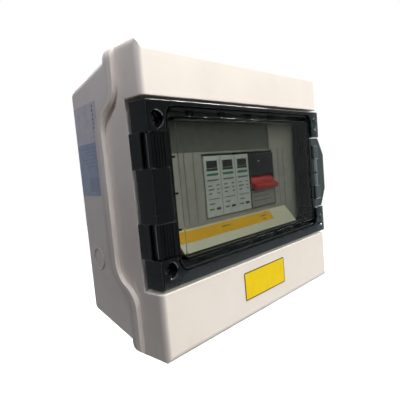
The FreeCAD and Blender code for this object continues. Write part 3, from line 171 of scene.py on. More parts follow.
# Papers and plates
INK_DEPTH = 0.2 * MM
PAPER_THICK = 0.3 * MM
PAPER_EDGE = 0.1 * MM
CORNER_STEPS = 5
SHADE_SHEET_MARGIN = 0.5 * MM
SHADE_SHEET_CORNER = 1.0 * MM
PLATE_SIZE = (55.0 * MM, 21.3 * MM)
PLATE_CENTRE = (1.5 * MM, -72.5 * MM)
PLATE_CORNER = 1.2 * MM
PLATE_BORDER = 0.8 * MM
STRIP_SIDES = (-76.5 * MM, 34.0 * MM)
STRIP_HEIGHT = 9.0 * MM
STRIP_DROP = 1.2 * MM
STRIP_CORNER = 0.6 * MM
STICKER_DEPTHS = (57.0 * MM, 95.0 * MM)
STICKER_ENDS = (6.3 * MM, 71.7 * MM)
STICKER_SPLIT = 44.0 * MM
STICKER_CORNER = 1.0 * MM

# Bars on the yellow strip: start from its right end, length, drop from the top of the ledge
STRIP_BARS = (
    (-17.0 * MM, 9.5 * MM, 3.2 * MM),
    (-15.5 * MM, 5.0 * MM, 5.6 * MM),
    (-66.0 * MM, 9.5 * MM, 3.2 * MM),
)
STRIP_BAR_THICK = 0.8 * MM

# Print on the side label: marks down its pale part, bars and a block on its blue part
MARK_COUNT = 9
MARK_DROP = 2.0 * MM
MARK_STEP = 3.0 * MM
MARK_HEIGHT = 2.0 * MM
MARK_START = 4.0 * MM
MARK_LENGTHS = (1.8 * MM, 2.4 * MM)
ROW_COUNT = 6
ROW_DROP = 3.0 * MM
ROW_STEP = 2.6 * MM
ROW_HEIGHT = 0.9 * MM
ROW_START = 5.0 * MM
ROW_LENGTHS = (26.0 * MM, 22.0 * MM, 18.0 * MM)
BLUE_BLOCK_SIDES = (6.0 * MM, 22.0 * MM)
BLUE_BLOCK_ENDS = (3.0 * MM, 13.0 * MM)

# Breaker: grey rating field with lines, and a white spot above the lever
RATING_INSET = 1.0 * MM
RATING_ENDS = (-22.0 * MM, -1.5 * MM)
RATING_LINES = 3
RATING_LINE_UP = 4.5 * MM
RATING_LINE_STEP = 3.6 * MM
RATING_LINE_HEIGHT = 0.7 * MM
RATING_LINE_LEFT = 4.0 * MM
RATING_LINE_RIGHTS = (6.0 * MM, 11.0 * MM, 16.0 * MM)
SPOT_SIDES = (13.0 * MM, 15.0 * MM)
SPOT_ENDS = (15.5 * MM, 16.4 * MM)

# Print on the white modules, as shares of a module's height from its top and of its width
MODULE_INK = (
    ((0.205, 0.245), (0.14, 0.86), "ink"),
    ((0.285, 0.325), (0.14, 0.86), "green"),
    ((0.385, 0.410), (0.14, 0.86), "grey"),
    ((0.475, 0.495), (0.16, 0.40), "grey"),
    ((0.475, 0.495), (0.68, 0.86), "grey"),
    ((0.540, 0.560), (0.16, 0.52), "grey"),
    ((0.540, 0.560), (0.70, 0.86), "grey"),
    ((0.605, 0.625), (0.18, 0.38), "grey"),
    ((0.605, 0.625), (0.72, 0.86), "grey"),
    ((0.700, 0.712), (0.14, 0.86), "grey"),
    ((0.775, 0.795), (0.18, 0.50), "grey"),
    ((0.860, 0.885), (0.14, 0.44), "grey"),
    ((0.855, 0.895), (0.58, 0.86), "ink"),
)
DISPLAY_HEIGHTS = (0.06, 0.22)
DISPLAY_SIDES = (0.15, 0.85)


def tone(red, green, blue):
    """Linear colour of an sRGB colour with parts from 0 to 255."""
    parts = []
    for part in (red, green, blue):
        share = part / 255
        if share <= 0.04045:
            parts.append(share / 12.92)
        else:
            parts.append(((share + 0.055) / 1.055) ** 2.4)
    return (*parts, 1.0)


CREAM = tone(245, 237, 225)
CREAM_DEEP = tone(239, 230, 217)
# Painted shade: the panel behind the window and the ledge under the devices are the cover's own
# cream, given darker tones for the shade behind the window; the ledge is less dark as it faces up
# to the light
PANEL_PAINTED_SHADE = tone(170, 166, 152)
LEDGE_PAINTED_SHADING = tone(226, 220, 192)
BASE_TONE = tone(232, 226, 219)
BASE_DEEP = tone(222, 213, 205)
SMEAR = tone(176, 164, 150)
# Painted shade: the tone that corners and gaps of the housing darken towards
CREVICE_SHADE = tone(120, 104, 92)
# Painted shade: the tone that the corners of metal parts darken towards
METAL_CREVICE_SHADE = tone(60, 56, 50)
RUBBER = tone(38, 38, 37)
RUBBER_PALE = tone(56, 55, 53)
INK = tone(34, 36, 34)
INK_GREY = tone(96, 100, 96)
INK_GREEN = tone(40, 120, 84)
MODULE_WHITE = tone(206, 208, 199)
MODULE_DEEP = tone(196, 199, 190)
BREAKER_BLACK = tone(26, 26, 28)
BREAKER_PALE = tone(40, 40, 42)
RATING_GREY = tone(158, 154, 146)
RATING_DEEP = tone(146, 142, 134)
RATING_INK = tone(112, 108, 102)
SPOT_WHITE = tone(214, 214, 210)
# Painted shade: tones of the dark card in the field above the devices
SHADE_SHEET_GREY = tone(104, 105, 94)
SHADE_SHEET_DEEP = tone(94, 96, 86)
YELLOW = tone(246, 212, 12)
YELLOW_DEEP = tone(240, 204, 10)
BORDER = tone(58, 50, 16)
STRIP_YELLOW = tone(246, 188, 4)
STRIP_DEEP = tone(238, 178, 4)
STRIP_INK = tone(140, 96, 20)
LABEL_PALE = tone(184, 180, 190)
LABEL_PALE_DEEP = tone(164, 160, 174)
LABEL_BLUE = tone(100, 126, 166)
LABEL_BLUE_DEEP = tone(78, 106, 146)
LABEL_MARK = tone(60, 60, 74)
LABEL_ROW = tone(74, 94, 136)
LABEL_BLOCK = tone(70, 90, 134)
FLOOR_TONE = tone(72, 65, 62)
FLOOR_WHITE = tone(255, 255, 255)
CLOTH = tone(24, 26, 28)
CLOTH_PALE = tone(34, 36, 38)
SCREEN_LIGHT = tone(240, 250, 255)


class Look:
    """One procedural material, with short calls for the nodes that it needs."""

    def __init__(self, name):
        self.material = bpy.data.materials.new(name)
        self.material.use_nodes = True
        self.tree = self.material.node_tree
        self.shader = self.tree.nodes["Principled BSDF"]
        self.output = self.tree.nodes["Material Output"]
        self.place = self.node("ShaderNodeTexCoord").outputs["Object"]
        parts = self.node("ShaderNodeSeparateXYZ")
        self.put(self.place, parts.inputs[0])
        self.x, self.y, self.z = parts.outputs

    def node(self, kind, **settings):
        node = self.tree.nodes.new(kind)
        for name, value in settings.items():
            setattr(node, name, value)
        return node

    def put(self, value, socket):
        """Links an output, or writes a plain value."""
        if isinstance(value, bpy.types.NodeSocket):
            self.tree.links.new(value, socket)
        else:
            socket.default_value = value

    def maths(self, operation, first, second=0.0):
        node = self.node("ShaderNodeMath", operation=operation)
        self.put(first, node.inputs[0])
        self.put(second, node.inputs[1])
        return node.outputs[0]

    def blend(self, share, first, second):
        node = self.node("ShaderNodeMix", data_type="RGBA")
        self.put(share, node.inputs[0])
        self.put(first, node.inputs[6])
        self.put(second, node.inputs[7])
        return node.outputs[2]

    def ramp(self, value, ends, limits=(0.0, 1.0)):
        """Takes a value from between two ends to between two limits, and no further."""
        node = self.node("ShaderNodeMapRange", clamp=True)
        self.put(value, node.inputs["Value"])
        node.inputs["From Min"].default_value = ends[0]
        node.inputs["From Max"].default_value = ends[1]
        node.inputs["To Min"].default_value = limits[0]
        node.inputs["To Max"].default_value = limits[1]
        return node.outputs[0]

    def noise(self, size, detail=3.0, roughness=0.5):
        node = self.node("ShaderNodeTexNoise")
        self.put(self.place, node.inputs["Vector"])
        node.inputs["Scale"].default_value = 1 / size
        node.inputs["Detail"].default_value = detail
        node.inputs["Roughness"].default_value = roughness
        return node.outputs["Fac"]

    def patches(self, size, limits, ends=NOISE_ENDS, detail=3.0, roughness=0.5):
        """Value that drifts between two limits over patches of a size."""
        return self.ramp(self.noise(size, detail, roughness), ends, limits)

    def cloud(self, size, pale, deep, ends=CLOUD_ENDS, detail=4.0, roughness=0.5):
        """Colour that drifts between two tones over patches of a size."""
        return self.blend(self.patches(size, (0.0, 1.0), ends, detail, roughness), pale, deep)

    def within(self, value, low, high):
        """1 where the value lies between two limits, and 0 elsewhere."""
        node = self.node("ShaderNodeMath", operation="COMPARE")
        self.put(value, node.inputs[0])
        node.inputs[1].default_value = (low + high) / 2
        node.inputs[2].default_value = abs(high - low) / 2
        return node.outputs[0]

    def field(self, across, sides, up, ends):
        """1 inside a rectangle of two coordinates."""
        return self.maths("MULTIPLY", self.within(across, *sides), self.within(up, *ends))

    def grain(self, size, depth, strength, detail=3.0, roughness=0.5, under=None):
        """Normal of a fine relief of a size and depth, over another normal if one is given."""
        node = self.node("ShaderNodeBump")
        node.inputs["Strength"].default_value = strength
        node.inputs["Distance"].default_value = depth
        self.put(self.noise(size, detail, roughness), node.inputs["Height"])
        if under is not None:
            self.put(under, node.inputs["Normal"])
        return node.outputs[0]

    def soft_edge(self, radius):
        """Normal that rounds sharp edges off for the light."""
        node = self.node("ShaderNodeBevel", samples=6)
        node.inputs["Radius"].default_value = radius
        return node.outputs["Normal"]

    def crevice(self, reach):
        """1 in the open, falling towards 0 deep in a corner or gap."""
        node = self.node("ShaderNodeAmbientOcclusion", samples=8)
        node.inputs["Distance"].default_value = reach
        return node.outputs["AO"]

    def finish(self, colour, roughness, normal=None, **sockets):
        self.put(colour, self.shader.inputs["Base Color"])
        self.put(roughness, self.shader.inputs["Roughness"])
        if normal is not None:
            self.put(normal, self.shader.inputs["Normal"])
        for name, value in sockets.items():
            self.put(value, self.shader.inputs[name.replace("_", " ")])
        return self.material


# Materials

def behind_window(look):
    """1 on the flat panel behind the window, and 0 on the rest of the cover."""
    flat = look.maths("GREATER_THAN", look.y, BOX_FRONT + RECESS_DEPTH - INK_DEPTH)
    return look.maths("MULTIPLY", flat, look.field(look.x, PANE_SIDES, look.z, PANE_ENDS))


def on_ledge(look):
    """1 on the sloping ledge under the devices, and 0 on the rest of the cover."""
    slope = look.within(look.y, BOX_FRONT + RECESS_DEPTH - SLOPE_RISE, BOX_FRONT + RECESS_DEPTH)
    ends = (WINDOW_Z + SLOPE_ENDS[1], WINDOW_Z + SLOPE_ENDS[0])
    return look.maths("MULTIPLY", slope, look.field(look.x, SLOPE_SIDES, look.z, ends))


def moulded_look(name, pale, deep, rough, areas=()):
    """Moulded housing plastic: spark-eroded grain, slow changes of tone, painted shade in
    crevices, and painted shade as other tones on given areas.
    """
    look = Look(name)
    colour = look.cloud(HOUSING_CLOUD, pale, deep, ends=NOISE_ENDS, roughness=0.6)
    # Painted shade: other tones laid over given areas of the cover
    for share, area_tone in areas:
        colour = look.blend(share(look), colour, area_tone)
    smear = look.patches(HOUSING_SMEAR, (0.0, 0.10), ends=(0.62, 0.80), detail=5.0, roughness=0.7)
    colour = look.blend(smear, colour, SMEAR)
    # Painted shade: the colour darkens towards a brown tone where ambient occlusion finds a
    # corner or gap
    painted_shade = look.ramp(look.crevice(HOUSING_SHADE_REACH), (0.15, 0.75), (0.14, 0.0))
    colour = look.blend(painted_shade, colour, CREVICE_SHADE)
    fine = look.grain(HOUSING_GRAIN, depth=0.03 * MM, strength=0.35, detail=2.0, roughness=0.6)
    normal = look.grain(HOUSING_WAVE, depth=0.25 * MM, strength=0.25, detail=2.0, roughness=0.4,
                        under=fine)
    roughness = look.patches(HOUSING_SHEEN, (rough - 0.05, rough + 0.07), ends=(0.25, 0.75),
                             detail=4.0, roughness=0.6)
    return look.finish(colour, roughness, normal, Specular_IOR_Level=0.42)


def smoked_look(name, tinted):
    """Clear grey-green plastic: dark where it is thick, see-through where it is thin."""
    look = Look(name)
    colour, frosted, glazed = tinted(look)
    haze = look.patches(SMOKED_HAZE, (0.03, 0.11), ends=(0.35, 0.8), detail=4.0, roughness=0.65)
    roughness = look.maths("ADD", haze, look.maths("MULTIPLY", frosted, FROST))
    normal = look.grain(SMOKED_WAVE, depth=0.15 * MM, strength=0.25, detail=2.0, roughness=0.4,
                        under=look.soft_edge(SMOKED_EDGE))
    clear_share = look.maths("SUBTRACT", 1.0, look.maths("MULTIPLY", frosted, SATIN))
    look.finish(colour, roughness, normal, IOR=SMOKED_IOR, Transmission_Weight=clear_share,
                Specular_Tint=SMOKED_SHEEN, Coat_Weight=glazed, Coat_Roughness=SMOKED_COAT)
    tint = look.node("ShaderNodeVolumeAbsorption")
    tint.inputs["Color"].default_value = SMOKED_COLOUR
    tint.inputs["Density"].default_value = SMOKED_DENSITY
    look.put(tint.outputs[0], look.output.inputs["Volume"])
    clear = look.node("ShaderNodeBsdfTransparent")
    rays = look.node("ShaderNodeLightPath")
    either = look.node("ShaderNodeMixShader")
    look.put(rays.outputs["Is Shadow Ray"], either.inputs[0])
    look.put(look.shader.outputs[0], either.inputs[1])
    look.put(clear.outputs[0], either.inputs[2])
    look.put(either.outputs[0], look.output.inputs["Surface"])
    return look.material


def frame_tint(look):
    """Dark with a satin strip under the window; paler and satin at the right corner blocks."""
    strip = look.maths("MULTIPLY", look.ramp(look.z, SATIN_FADE, (1.0, 0.0)),
                       look.ramp(look.x, (-FRAME_SIDES[1], FIELD_SIDES[0])))
    blocks = look.ramp(look.x, (PANE_SIDES[1], FRAME_SIDES[1]), (0.0, BLOCK_SATIN))
    colour = look.blend(blocks, SMOKED_DARK, SMOKED_PALE)
    return colour, look.maths("MAXIMUM", strip, blocks), 1.0


def door_tint(look):
    """Clear pane, dark knuckles, paler grip and foot, satin hoods with a dark outline, and a pale
    tint on the bar between the hoods as a painted reflection.
    """
    pane = look.field(look.x, PANE_SIDES, look.z, PANE_ENDS)
    foot = look.field(look.x, PANE_SIDES, look.z, FOOT_ENDS)
    grip = look.maths("GREATER_THAN", look.x, PANE_SIDES[1])
    height = look.maths("ABSOLUTE", look.maths("SUBTRACT", look.z, WINDOW_Z))
    hood = look.field(look.x, (LATCH_X - HOOD_HALF, LATCH_X + HOOD_HALF), height, HOOD_ENDS)
    face = look.field(look.x, (LATCH_X - HOOD_HALF, LATCH_X + HOOD_HALF - HOOD_RIM),
                      height, (HOOD_ENDS[0] + HOOD_RIM, HOOD_ENDS[1] - HOOD_RIM))
    bar = look.field(look.x, (LATCH_X - BAR_HALF, LATCH_X + BAR_HALF),
                     height, (BAR_NOTCH, HOOD_ENDS[0]))
    colour = look.blend(look.maths("MAXIMUM", grip, foot), SMOKED_DARK, SMOKED_PALE)
    colour = look.blend(look.maths("SUBTRACT", hood, face), colour, SMOKED_DARK)
    # Painted reflection: the bar is tinted pale to stand in for the reflection along it
    colour = look.blend(bar, colour, SMOKED_BAR_PAINTED_REFLECTION)
    colour = look.blend(pane, colour, SMOKED_CLEAR)
    frosted = look.maths("MAXIMUM", look.maths("MAXIMUM", face, bar),
                         look.maths("MULTIPLY", foot, FOOT_SATIN))
    return colour, frosted, look.maths("SUBTRACT", 1.0, pane)


def rubber_look(name):
    look = Look(name)
    colour = look.blend(look.noise(RUBBER_CLOUD), RUBBER, RUBBER_PALE)
    normal = look.grain(RUBBER_GRAIN, depth=0.04 * MM, strength=0.5)
    return look.finish(colour, look.patches(RUBBER_SHEEN, (0.72, 0.88)), normal)


def metal_look(name, pale, dull, rough):
    """Plated or turned metal: fine machining grain, cloudy plating, painted shade in its corners.
    """
    look = Look(name)
    colour = look.cloud(METAL_CLOUD, pale, dull, roughness=0.6)
    # Painted shade: the colour darkens where ambient occlusion finds a corner
    painted_shade = look.ramp(look.crevice(METAL_SHADE_REACH), (0.2, 0.8), (0.5, 0.0))
    colour = look.blend(painted_shade, colour, METAL_CREVICE_SHADE)
    normal = look.grain(METAL_GRAIN, depth=0.02 * MM, strength=0.4, roughness=0.6)
    roughness = look.patches(METAL_SHEEN, (rough - 0.06, rough + 0.10))
    return look.finish(colour, roughness, normal, Metallic=1.0)


def device_look(name, pale, deep, rough):
    """Fine-textured device plastic."""
    look = Look(name)
    normal = look.grain(DEVICE_GRAIN, depth=0.03 * MM, strength=0.4, detail=2.0)
    roughness = look.patches(DEVICE_SHEEN, (rough - 0.05, rough + 0.08))
    return look.finish(look.cloud(DEVICE_CLOUD, pale, deep), roughness, normal)


def cartridge_look(node):
    """White plug-in module with its display and plain printed bars."""
    look = Look(node + "_look")
    low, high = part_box(node)
    width = high.x - low.x
    height = high.z - low.z
    inks = {"ink": INK, "green": INK_GREEN, "grey": INK_GREY}
    on_front = look.maths("LESS_THAN", look.y, DEVICE_FRONT + INK_DEPTH)
    colour = look.cloud(MODULE_CLOUD, MODULE_WHITE, MODULE_DEEP, detail=3.0)
    for heights, sides, ink in MODULE_INK:
        bar = look.field(look.x, [low.x + share * width for share in sides],
                         look.z, [high.z - share * height for share in heights])
        colour = look.blend(look.maths("MULTIPLY", bar, on_front), colour, inks[ink])
    sunk = look.within(look.y, DEVICE_FRONT + INK_DEPTH, DEVICE_FRONT + 3 * INK_DEPTH)
    display = look.field(look.x, [low.x + share * width for share in DISPLAY_SIDES],
                         look.z, [high.z - share * height for share in DISPLAY_HEIGHTS])
    colour = look.blend(look.maths("MULTIPLY", display, sunk), colour, INK)
    normal = look.grain(DEVICE_GRAIN, depth=0.02 * MM, strength=0.3, detail=2.0)
    return look.finish(colour, look.patches(DEVICE_SHEEN, (0.38, 0.50)), normal)


def breaker_look():
    """Black breaker with a grey rating field under its lever."""
    look = Look("breaker_body_look")
    low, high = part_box("breaker_body")
    on_front = look.maths("LESS_THAN", look.y, DEVICE_FRONT + INK_DEPTH)
    black = look.blend(look.noise(DEVICE_CLOUD, detail=4.0), BREAKER_BLACK, BREAKER_PALE)
    grey = look.blend(look.noise(MODULE_CLOUD, detail=4.0), RATING_GREY, RATING_DEEP)
    rating = look.field(look.x, (low.x + RATING_INSET, high.x - RATING_INSET),
                        look.z, (WINDOW_Z + RATING_ENDS[0], WINDOW_Z + RATING_ENDS[1]))
    colour = look.blend(look.maths("MULTIPLY", rating, on_front), black, grey)
    for row in range(RATING_LINES):
        height = WINDOW_Z + RATING_ENDS[0] + RATING_LINE_UP + row * RATING_LINE_STEP
        line = look.field(look.x, (low.x + RATING_LINE_LEFT, high.x - RATING_LINE_RIGHTS[row]),
                          look.z, (height, height + RATING_LINE_HEIGHT))
        colour = look.blend(look.maths("MULTIPLY", line, on_front), colour, RATING_INK)
    spot = look.field(look.x, [low.x + side for side in SPOT_SIDES],
                      look.z, [WINDOW_Z + end for end in SPOT_ENDS])
    colour = look.blend(look.maths("MULTIPLY", spot, on_front), colour, SPOT_WHITE)
    normal = look.grain(DEVICE_GRAIN, depth=0.03 * MM, strength=0.4, detail=2.0)
    return look.finish(colour, look.patches(DEVICE_SHEEN, (0.40, 0.55)), normal)


def paper_finish(look, colour, rough_limits, grain=PAPER_GRAIN, **sockets):
    """Closes the look of a paper or a thin plate with its grain and sheen."""
    normal = look.grain(grain, depth=0.03 * MM, strength=0.3)
    return look.finish(colour, look.patches(PAPER_SHEEN, rough_limits), normal, **sockets)


# Painted shade: a dark grey card for the shaded field above the devices
def shade_sheet_material():
    look = Look("shade_sheet_look")
    return paper_finish(look, look.cloud(SHADE_SHEET_CLOUD, SHADE_SHEET_GREY, SHADE_SHEET_DEEP), (0.44, 0.56))


def bordered_plate_look():
    """Bare yellow plate with a thin dark border."""
    look = Look("front_plate_look")
    centre_x, centre_z = PLATE_CENTRE
    half_x = PLATE_SIZE[0] / 2 - PLATE_BORDER
    half_z = PLATE_SIZE[1] / 2 - PLATE_BORDER
    inner = look.field(look.x, (centre_x - half_x, centre_x + half_x),
                       look.z, (centre_z - half_z, centre_z + half_z))
    colour = look.blend(inner, BORDER, look.cloud(PLATE_CLOUD, YELLOW, YELLOW_DEEP))
    return paper_finish(look, colour, (0.46, 0.58), Specular_IOR_Level=0.25)


def strip_look():
    """Yellow adhesive strip with a few plain brown bars."""
    look = Look("ledge_strip_look")
    colour = look.cloud(STRIP_CLOUD, STRIP_YELLOW, STRIP_DEEP)
    for start, length, drop in STRIP_BARS:
        left = STRIP_SIDES[1] + start
        top = WINDOW_Z + SLOPE_ENDS[0] - drop
        bar = look.field(look.x, (left, left + length), look.z, (top - STRIP_BAR_THICK, top))
        colour = look.blend(bar, colour, STRIP_INK)
    return paper_finish(look, colour, (0.42, 0.55), Specular_IOR_Level=0.2)


def sticker_look():
    """Side label: pale upper part with a column of dark marks, blue field with bars below."""
    look = Look("side_label_look")
    pale = look.cloud(LABEL_CLOUD, LABEL_PALE, LABEL_PALE_DEEP, ends=NOISE_ENDS)
    blue = look.cloud(LABEL_CLOUD, LABEL_BLUE, LABEL_BLUE_DEEP, ends=NOISE_ENDS)
    colour = look.blend(look.maths("LESS_THAN", look.z, STICKER_SPLIT), pale, blue)
    front = BOX_FRONT + STICKER_DEPTHS[0]
    for mark in range(MARK_COUNT):
        top = STICKER_ENDS[1] - MARK_DROP - mark * MARK_STEP
        left = front + MARK_START
        length = MARK_LENGTHS[mark % len(MARK_LENGTHS)]
        spot = look.field(look.y, (left, left + length), look.z, (top - MARK_HEIGHT, top))
        colour = look.blend(spot, colour, LABEL_MARK)
    for row in range(ROW_COUNT):
        top = STICKER_SPLIT - ROW_DROP - row * ROW_STEP
        left = front + ROW_START
        length = ROW_LENGTHS[row % len(ROW_LENGTHS)]
        bar = look.field(look.y, (left, left + length), look.z, (top - ROW_HEIGHT, top))
        colour = look.blend(bar, colour, LABEL_ROW)
    block_sides = [front + side for side in BLUE_BLOCK_SIDES]
    block_ends = [STICKER_ENDS[0] + end for end in BLUE_BLOCK_ENDS]
    blue_block = look.field(look.y, block_sides, look.z, block_ends)
    colour = look.blend(blue_block, colour, LABEL_BLOCK)
    return paper_finish(look, colour, (0.30, 0.42), grain=LABEL_GRAIN)


# Pieces

def rounded_outline(width, height, corner):
    """Points round a rectangle with rounded corners, anticlockwise."""
    points = []
    for quarter in range(4):
        sign_x = (1, -1, -1, 1)[quarter]
        sign_z = (1, 1, -1, -1)[quarter]
        for step in range(CORNER_STEPS + 1):
            turn = math.radians(90) * (quarter + step / CORNER_STEPS)
            points.append((sign_x * (width / 2 - corner) + corner * math.cos(turn),
                           sign_z * (height / 2 - corner) + corner * math.sin(turn)))
    return points


def place_piece(name, form):
    """Turns a finished mesh form into an object of the scene."""
    mesh = bpy.data.meshes.new(name)
    form.to_mesh(mesh)
    form.free()
    piece = bpy.data.objects.new(name, mesh)
    bpy.context.scene.collection.objects.link(piece)
    return piece


def plate(name, centre, across, up, size, thick, corner, edge):
    """Thin closed plate with rounded corners and a bevelled front, standing on a face."""
    outward = across.cross(up)
    form = bmesh.new()
    rings = []
    for inset, lift in ((0.0, 0.0), (0.0, thick - edge), (edge, thick)):
        outline = rounded_outline(size[0] - 2 * inset, size[1] - 2 * inset, corner - inset)
        rings.append([form.verts.new(centre + across * a + up * b + outward * lift)
                      for a, b in outline])
    form.faces.new(list(reversed(rings[0])))
    form.faces.new(rings[-1])
    for lower, upper in zip(rings, rings[1:]):
        for here in range(len(lower)):
            after = (here + 1) % len(lower)
            form.faces.new((lower[here], lower[after], upper[after], upper[here]))
    bmesh.ops.recalc_face_normals(form, faces=form.faces)
    return place_piece(name, form)


def block(name, low, high, edge):
    """Closed block between two corners with rounded edges."""
    form = bmesh.new()
    bmesh.ops.create_cube(form, size=1.0)
    for vertex in form.verts:
        for axis in range(3):
            vertex.co[axis] = high[axis] if vertex.co[axis] > 0 else low[axis]
    bmesh.ops.bevel(form, geom=form.edges[:], offset=edge, segments=4, profile=0.5,
                    affect="EDGES")
    return place_piece(name, form)


def dress(piece, material):
    """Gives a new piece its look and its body."""
    piece.data.materials.append(material)
    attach(piece, "box")


def make_shade_sheet():
    """Dark grey card in the sunken field above the devices: painted shade, which stands in for
    the shade that falls there.
    """
    left, right = FIELD_SIDES
    bottom, top = FIELD_ENDS
    centre = Vector(((left + right) / 2, BOX_FRONT + FIELD_DEPTH, WINDOW_Z + (bottom + top) / 2))
    size = (right - left - 2 * SHADE_SHEET_MARGIN, top - bottom - 2 * SHADE_SHEET_MARGIN)
    piece = plate("shade_sheet", centre, X, Z, size, PAPER_THICK, SHADE_SHEET_CORNER, PAPER_EDGE)
    dress(piece, shade_sheet_material())


def make_front_plate():
    centre = Vector((PLATE_CENTRE[0], BOX_FRONT, PLATE_CENTRE[1]))
    piece = plate("front_plate", centre, X, Z, PLATE_SIZE, PAPER_THICK, PLATE_CORNER, PAPER_EDGE)
    dress(piece, bordered_plate_look())


def make_ledge_strip():
    """Yellow strip stuck on the sloping ledge under the devices."""
    run = SLOPE_ENDS[0] - SLOPE_ENDS[1]
    up = Vector((0, SLOPE_RISE, run)).normalized()
    top = Vector(((STRIP_SIDES[0] + STRIP_SIDES[1]) / 2, BOX_FRONT + RECESS_DEPTH,
                  WINDOW_Z + SLOPE_ENDS[0]))
    centre = top - up * (STRIP_DROP + STRIP_HEIGHT / 2)
    size = (STRIP_SIDES[1] - STRIP_SIDES[0], STRIP_HEIGHT)
    piece = plate("ledge_strip", centre, X, up, size, PAPER_THICK, STRIP_CORNER, PAPER_EDGE)
    dress(piece, strip_look())


def make_side_label():
    """Label on the tapered left wall of the base."""
    run = BOX_DEPTH - BASE_FRONT_DEPTH
    along = Vector((BASE_TAPER, run, 0)).normalized()
    depth = (STICKER_DEPTHS[0] + STICKER_DEPTHS[1]) / 2
    share = (depth - BASE_FRONT_DEPTH) / run
    centre = Vector((share * BASE_TAPER - BASE_FRONT_HALF, BOX_FRONT + depth,
                     (STICKER_ENDS[0] + STICKER_ENDS[1]) / 2))
    size = ((STICKER_DEPTHS[1] - STICKER_DEPTHS[0]) / along.y, STICKER_ENDS[1] - STICKER_ENDS[0])
    piece = plate("side_label", centre, -along, Z, size, PAPER_THICK, STICKER_CORNER, PAPER_EDGE)
    dress(piece, sticker_look())


def make_latch_stops(material):
    """Feet of the frame's right corner blocks, which reach close to the window's grip."""
    for side, sign in (("upper", 1), ("lower", -1)):
        ends = sorted((WINDOW_Z + sign * (GRIP_END + STOP_GAP),
                       WINDOW_Z + sign * (BLOCK_END + STOP_SINK)))
        low = (FRAME_SIDES[0] + STOP_INSET, BOX_FRONT - FRAME_PROUD + STOP_INSET, ends[0])
        high = (FRAME_SIDES[1] - STOP_INSET, BOX_FRONT + BED_DEPTH + STOP_SINK, ends[1])
        piece = block("latch_stop_" + side, low, high, STOP_EDGE)
        dress(piece, material)


def dress_nodes(nodes):
    """Puts a look on every node of the part."""
    # Painted shade on the cover's panel and ledge behind the window
    areas = ((behind_window, PANEL_PAINTED_SHADE), (on_ledge, LEDGE_PAINTED_SHADING))
    cover = moulded_look("cover_look", CREAM, CREAM_DEEP, 0.46, areas)
    base = moulded_look("base_look", BASE_TONE, BASE_DEEP, 0.50)
    smoked_frame = smoked_look("smoked_frame_look", frame_tint)
    smoked_door = smoked_look("smoked_door_look", door_tint)
    rubber = rubber_look("rubber_look")
    zinc = metal_look("zinc_look", tone(186, 187, 184), tone(158, 160, 158), 0.34)
    screw = metal_look("screw_look", tone(168, 168, 166), tone(128, 128, 126), 0.30)
    dark_screw = metal_look("dark_screw_look", tone(84, 84, 86), tone(62, 62, 64), 0.42)
    brass = metal_look("brass_look", tone(212, 176, 104), tone(176, 140, 76), 0.32)
    black = device_look("black_device_look", tone(30, 30, 32), tone(42, 42, 44), 0.48)
    grey = device_look("grey_device_look", tone(176, 176, 172), tone(160, 160, 156), 0.50)
    holder = device_look("holder_look", tone(110, 112, 112), tone(96, 98, 98), 0.52)
    # Painted shade: the blanking strips' tones are darkened for the shade at the left of the
    # window
    blank = device_look("blank_shaded_look", tone(172, 168, 158), tone(162, 158, 148), 0.48)
    red = device_look("toggle_look", tone(204, 46, 40), tone(186, 38, 34), 0.34)
    looks = {
        "front_cover": cover,
        "rear_base": base,
        "rim_seal": rubber,
        "window_frame": smoked_frame,
        "window_door": smoked_door,
        "door_seal": rubber,
        "hinge_pin_upper": zinc,
        "hinge_pin_lower": zinc,
        "cover_screws": dark_screw,
        "cover_screw_seals": rubber,
        "boss_inserts": brass,
        "din_rail": zinc,
        "din_rail_screws": screw,
        "breaker_body": breaker_look(),
        "breaker_toggle": red,
        "breaker_toggle_pin": zinc,
        "breaker_rail_clip": black,
        "breaker_terminal_screws": screw,
        "spd_base": grey,
        "spd_rail_clip": black,
        "spd_terminal_screws": screw,
        "blanking_strip_left": blank,
        "blanking_strip_right": blank,
        "earth_bar": brass,
        "earth_bar_holder": holder,
        "earth_bar_screws": brass,
    }
    for side in ("left", "middle", "right"):
        node = "spd_cartridge_" + side
        looks[node] = cartridge_look(node)
    for name, thing in nodes.items():
        thing.data.materials.clear()
        thing.data.materials.append(looks[name])
    return looks


# Stage

def make_camera():
    azimuth = math.radians(CAMERA_AZIMUTH)
    down = math.radians(CAMERA_DOWN)
    roll = math.radians(CAMERA_ROLL)
    ahead = Vector((-math.sin(azimuth) * math.cos(down), math.cos(azimuth) * math.cos(down),
                    -math.sin(down)))
    level_right = ahead.cross(Z).normalized()
    level_up = level_right.cross(ahead)
    right = math.cos(roll) * level_right + math.sin(roll) * level_up
    up = math.cos(roll) * level_up - math.sin(roll) * level_right
    camera = bpy.data.objects.new("camera", bpy.data.cameras.new("camera"))
    camera.data.lens = CAMERA_LENS
    camera.data.sensor_width = CAMERA_SENSOR
    camera.data.clip_start = CAMERA_NEAR
    turn = Matrix((right, up, -ahead)).transposed().to_4x4()
    camera.matrix_world = Matrix.Translation(CAMERA_PLACE) @ turn
    bpy.context.scene.collection.objects.link(camera)
    bpy.context.scene.camera = camera


def make_lamp(name, place, size, power, colour):
    """Flat lamp that faces the middle of the box's back."""
    lamp = bpy.data.lights.new(name, "AREA")
    lamp.energy = power
    lamp.shape = "RECTANGLE"
    lamp.size, lamp.size_y = size
    lamp.color = colour
    holder = bpy.data.objects.new(name, lamp)
    holder.location = place
    holder.rotation_euler = Vector(place).to_track_quat("Z", "Y").to_euler()
    bpy.context.scene.collection.objects.link(holder)


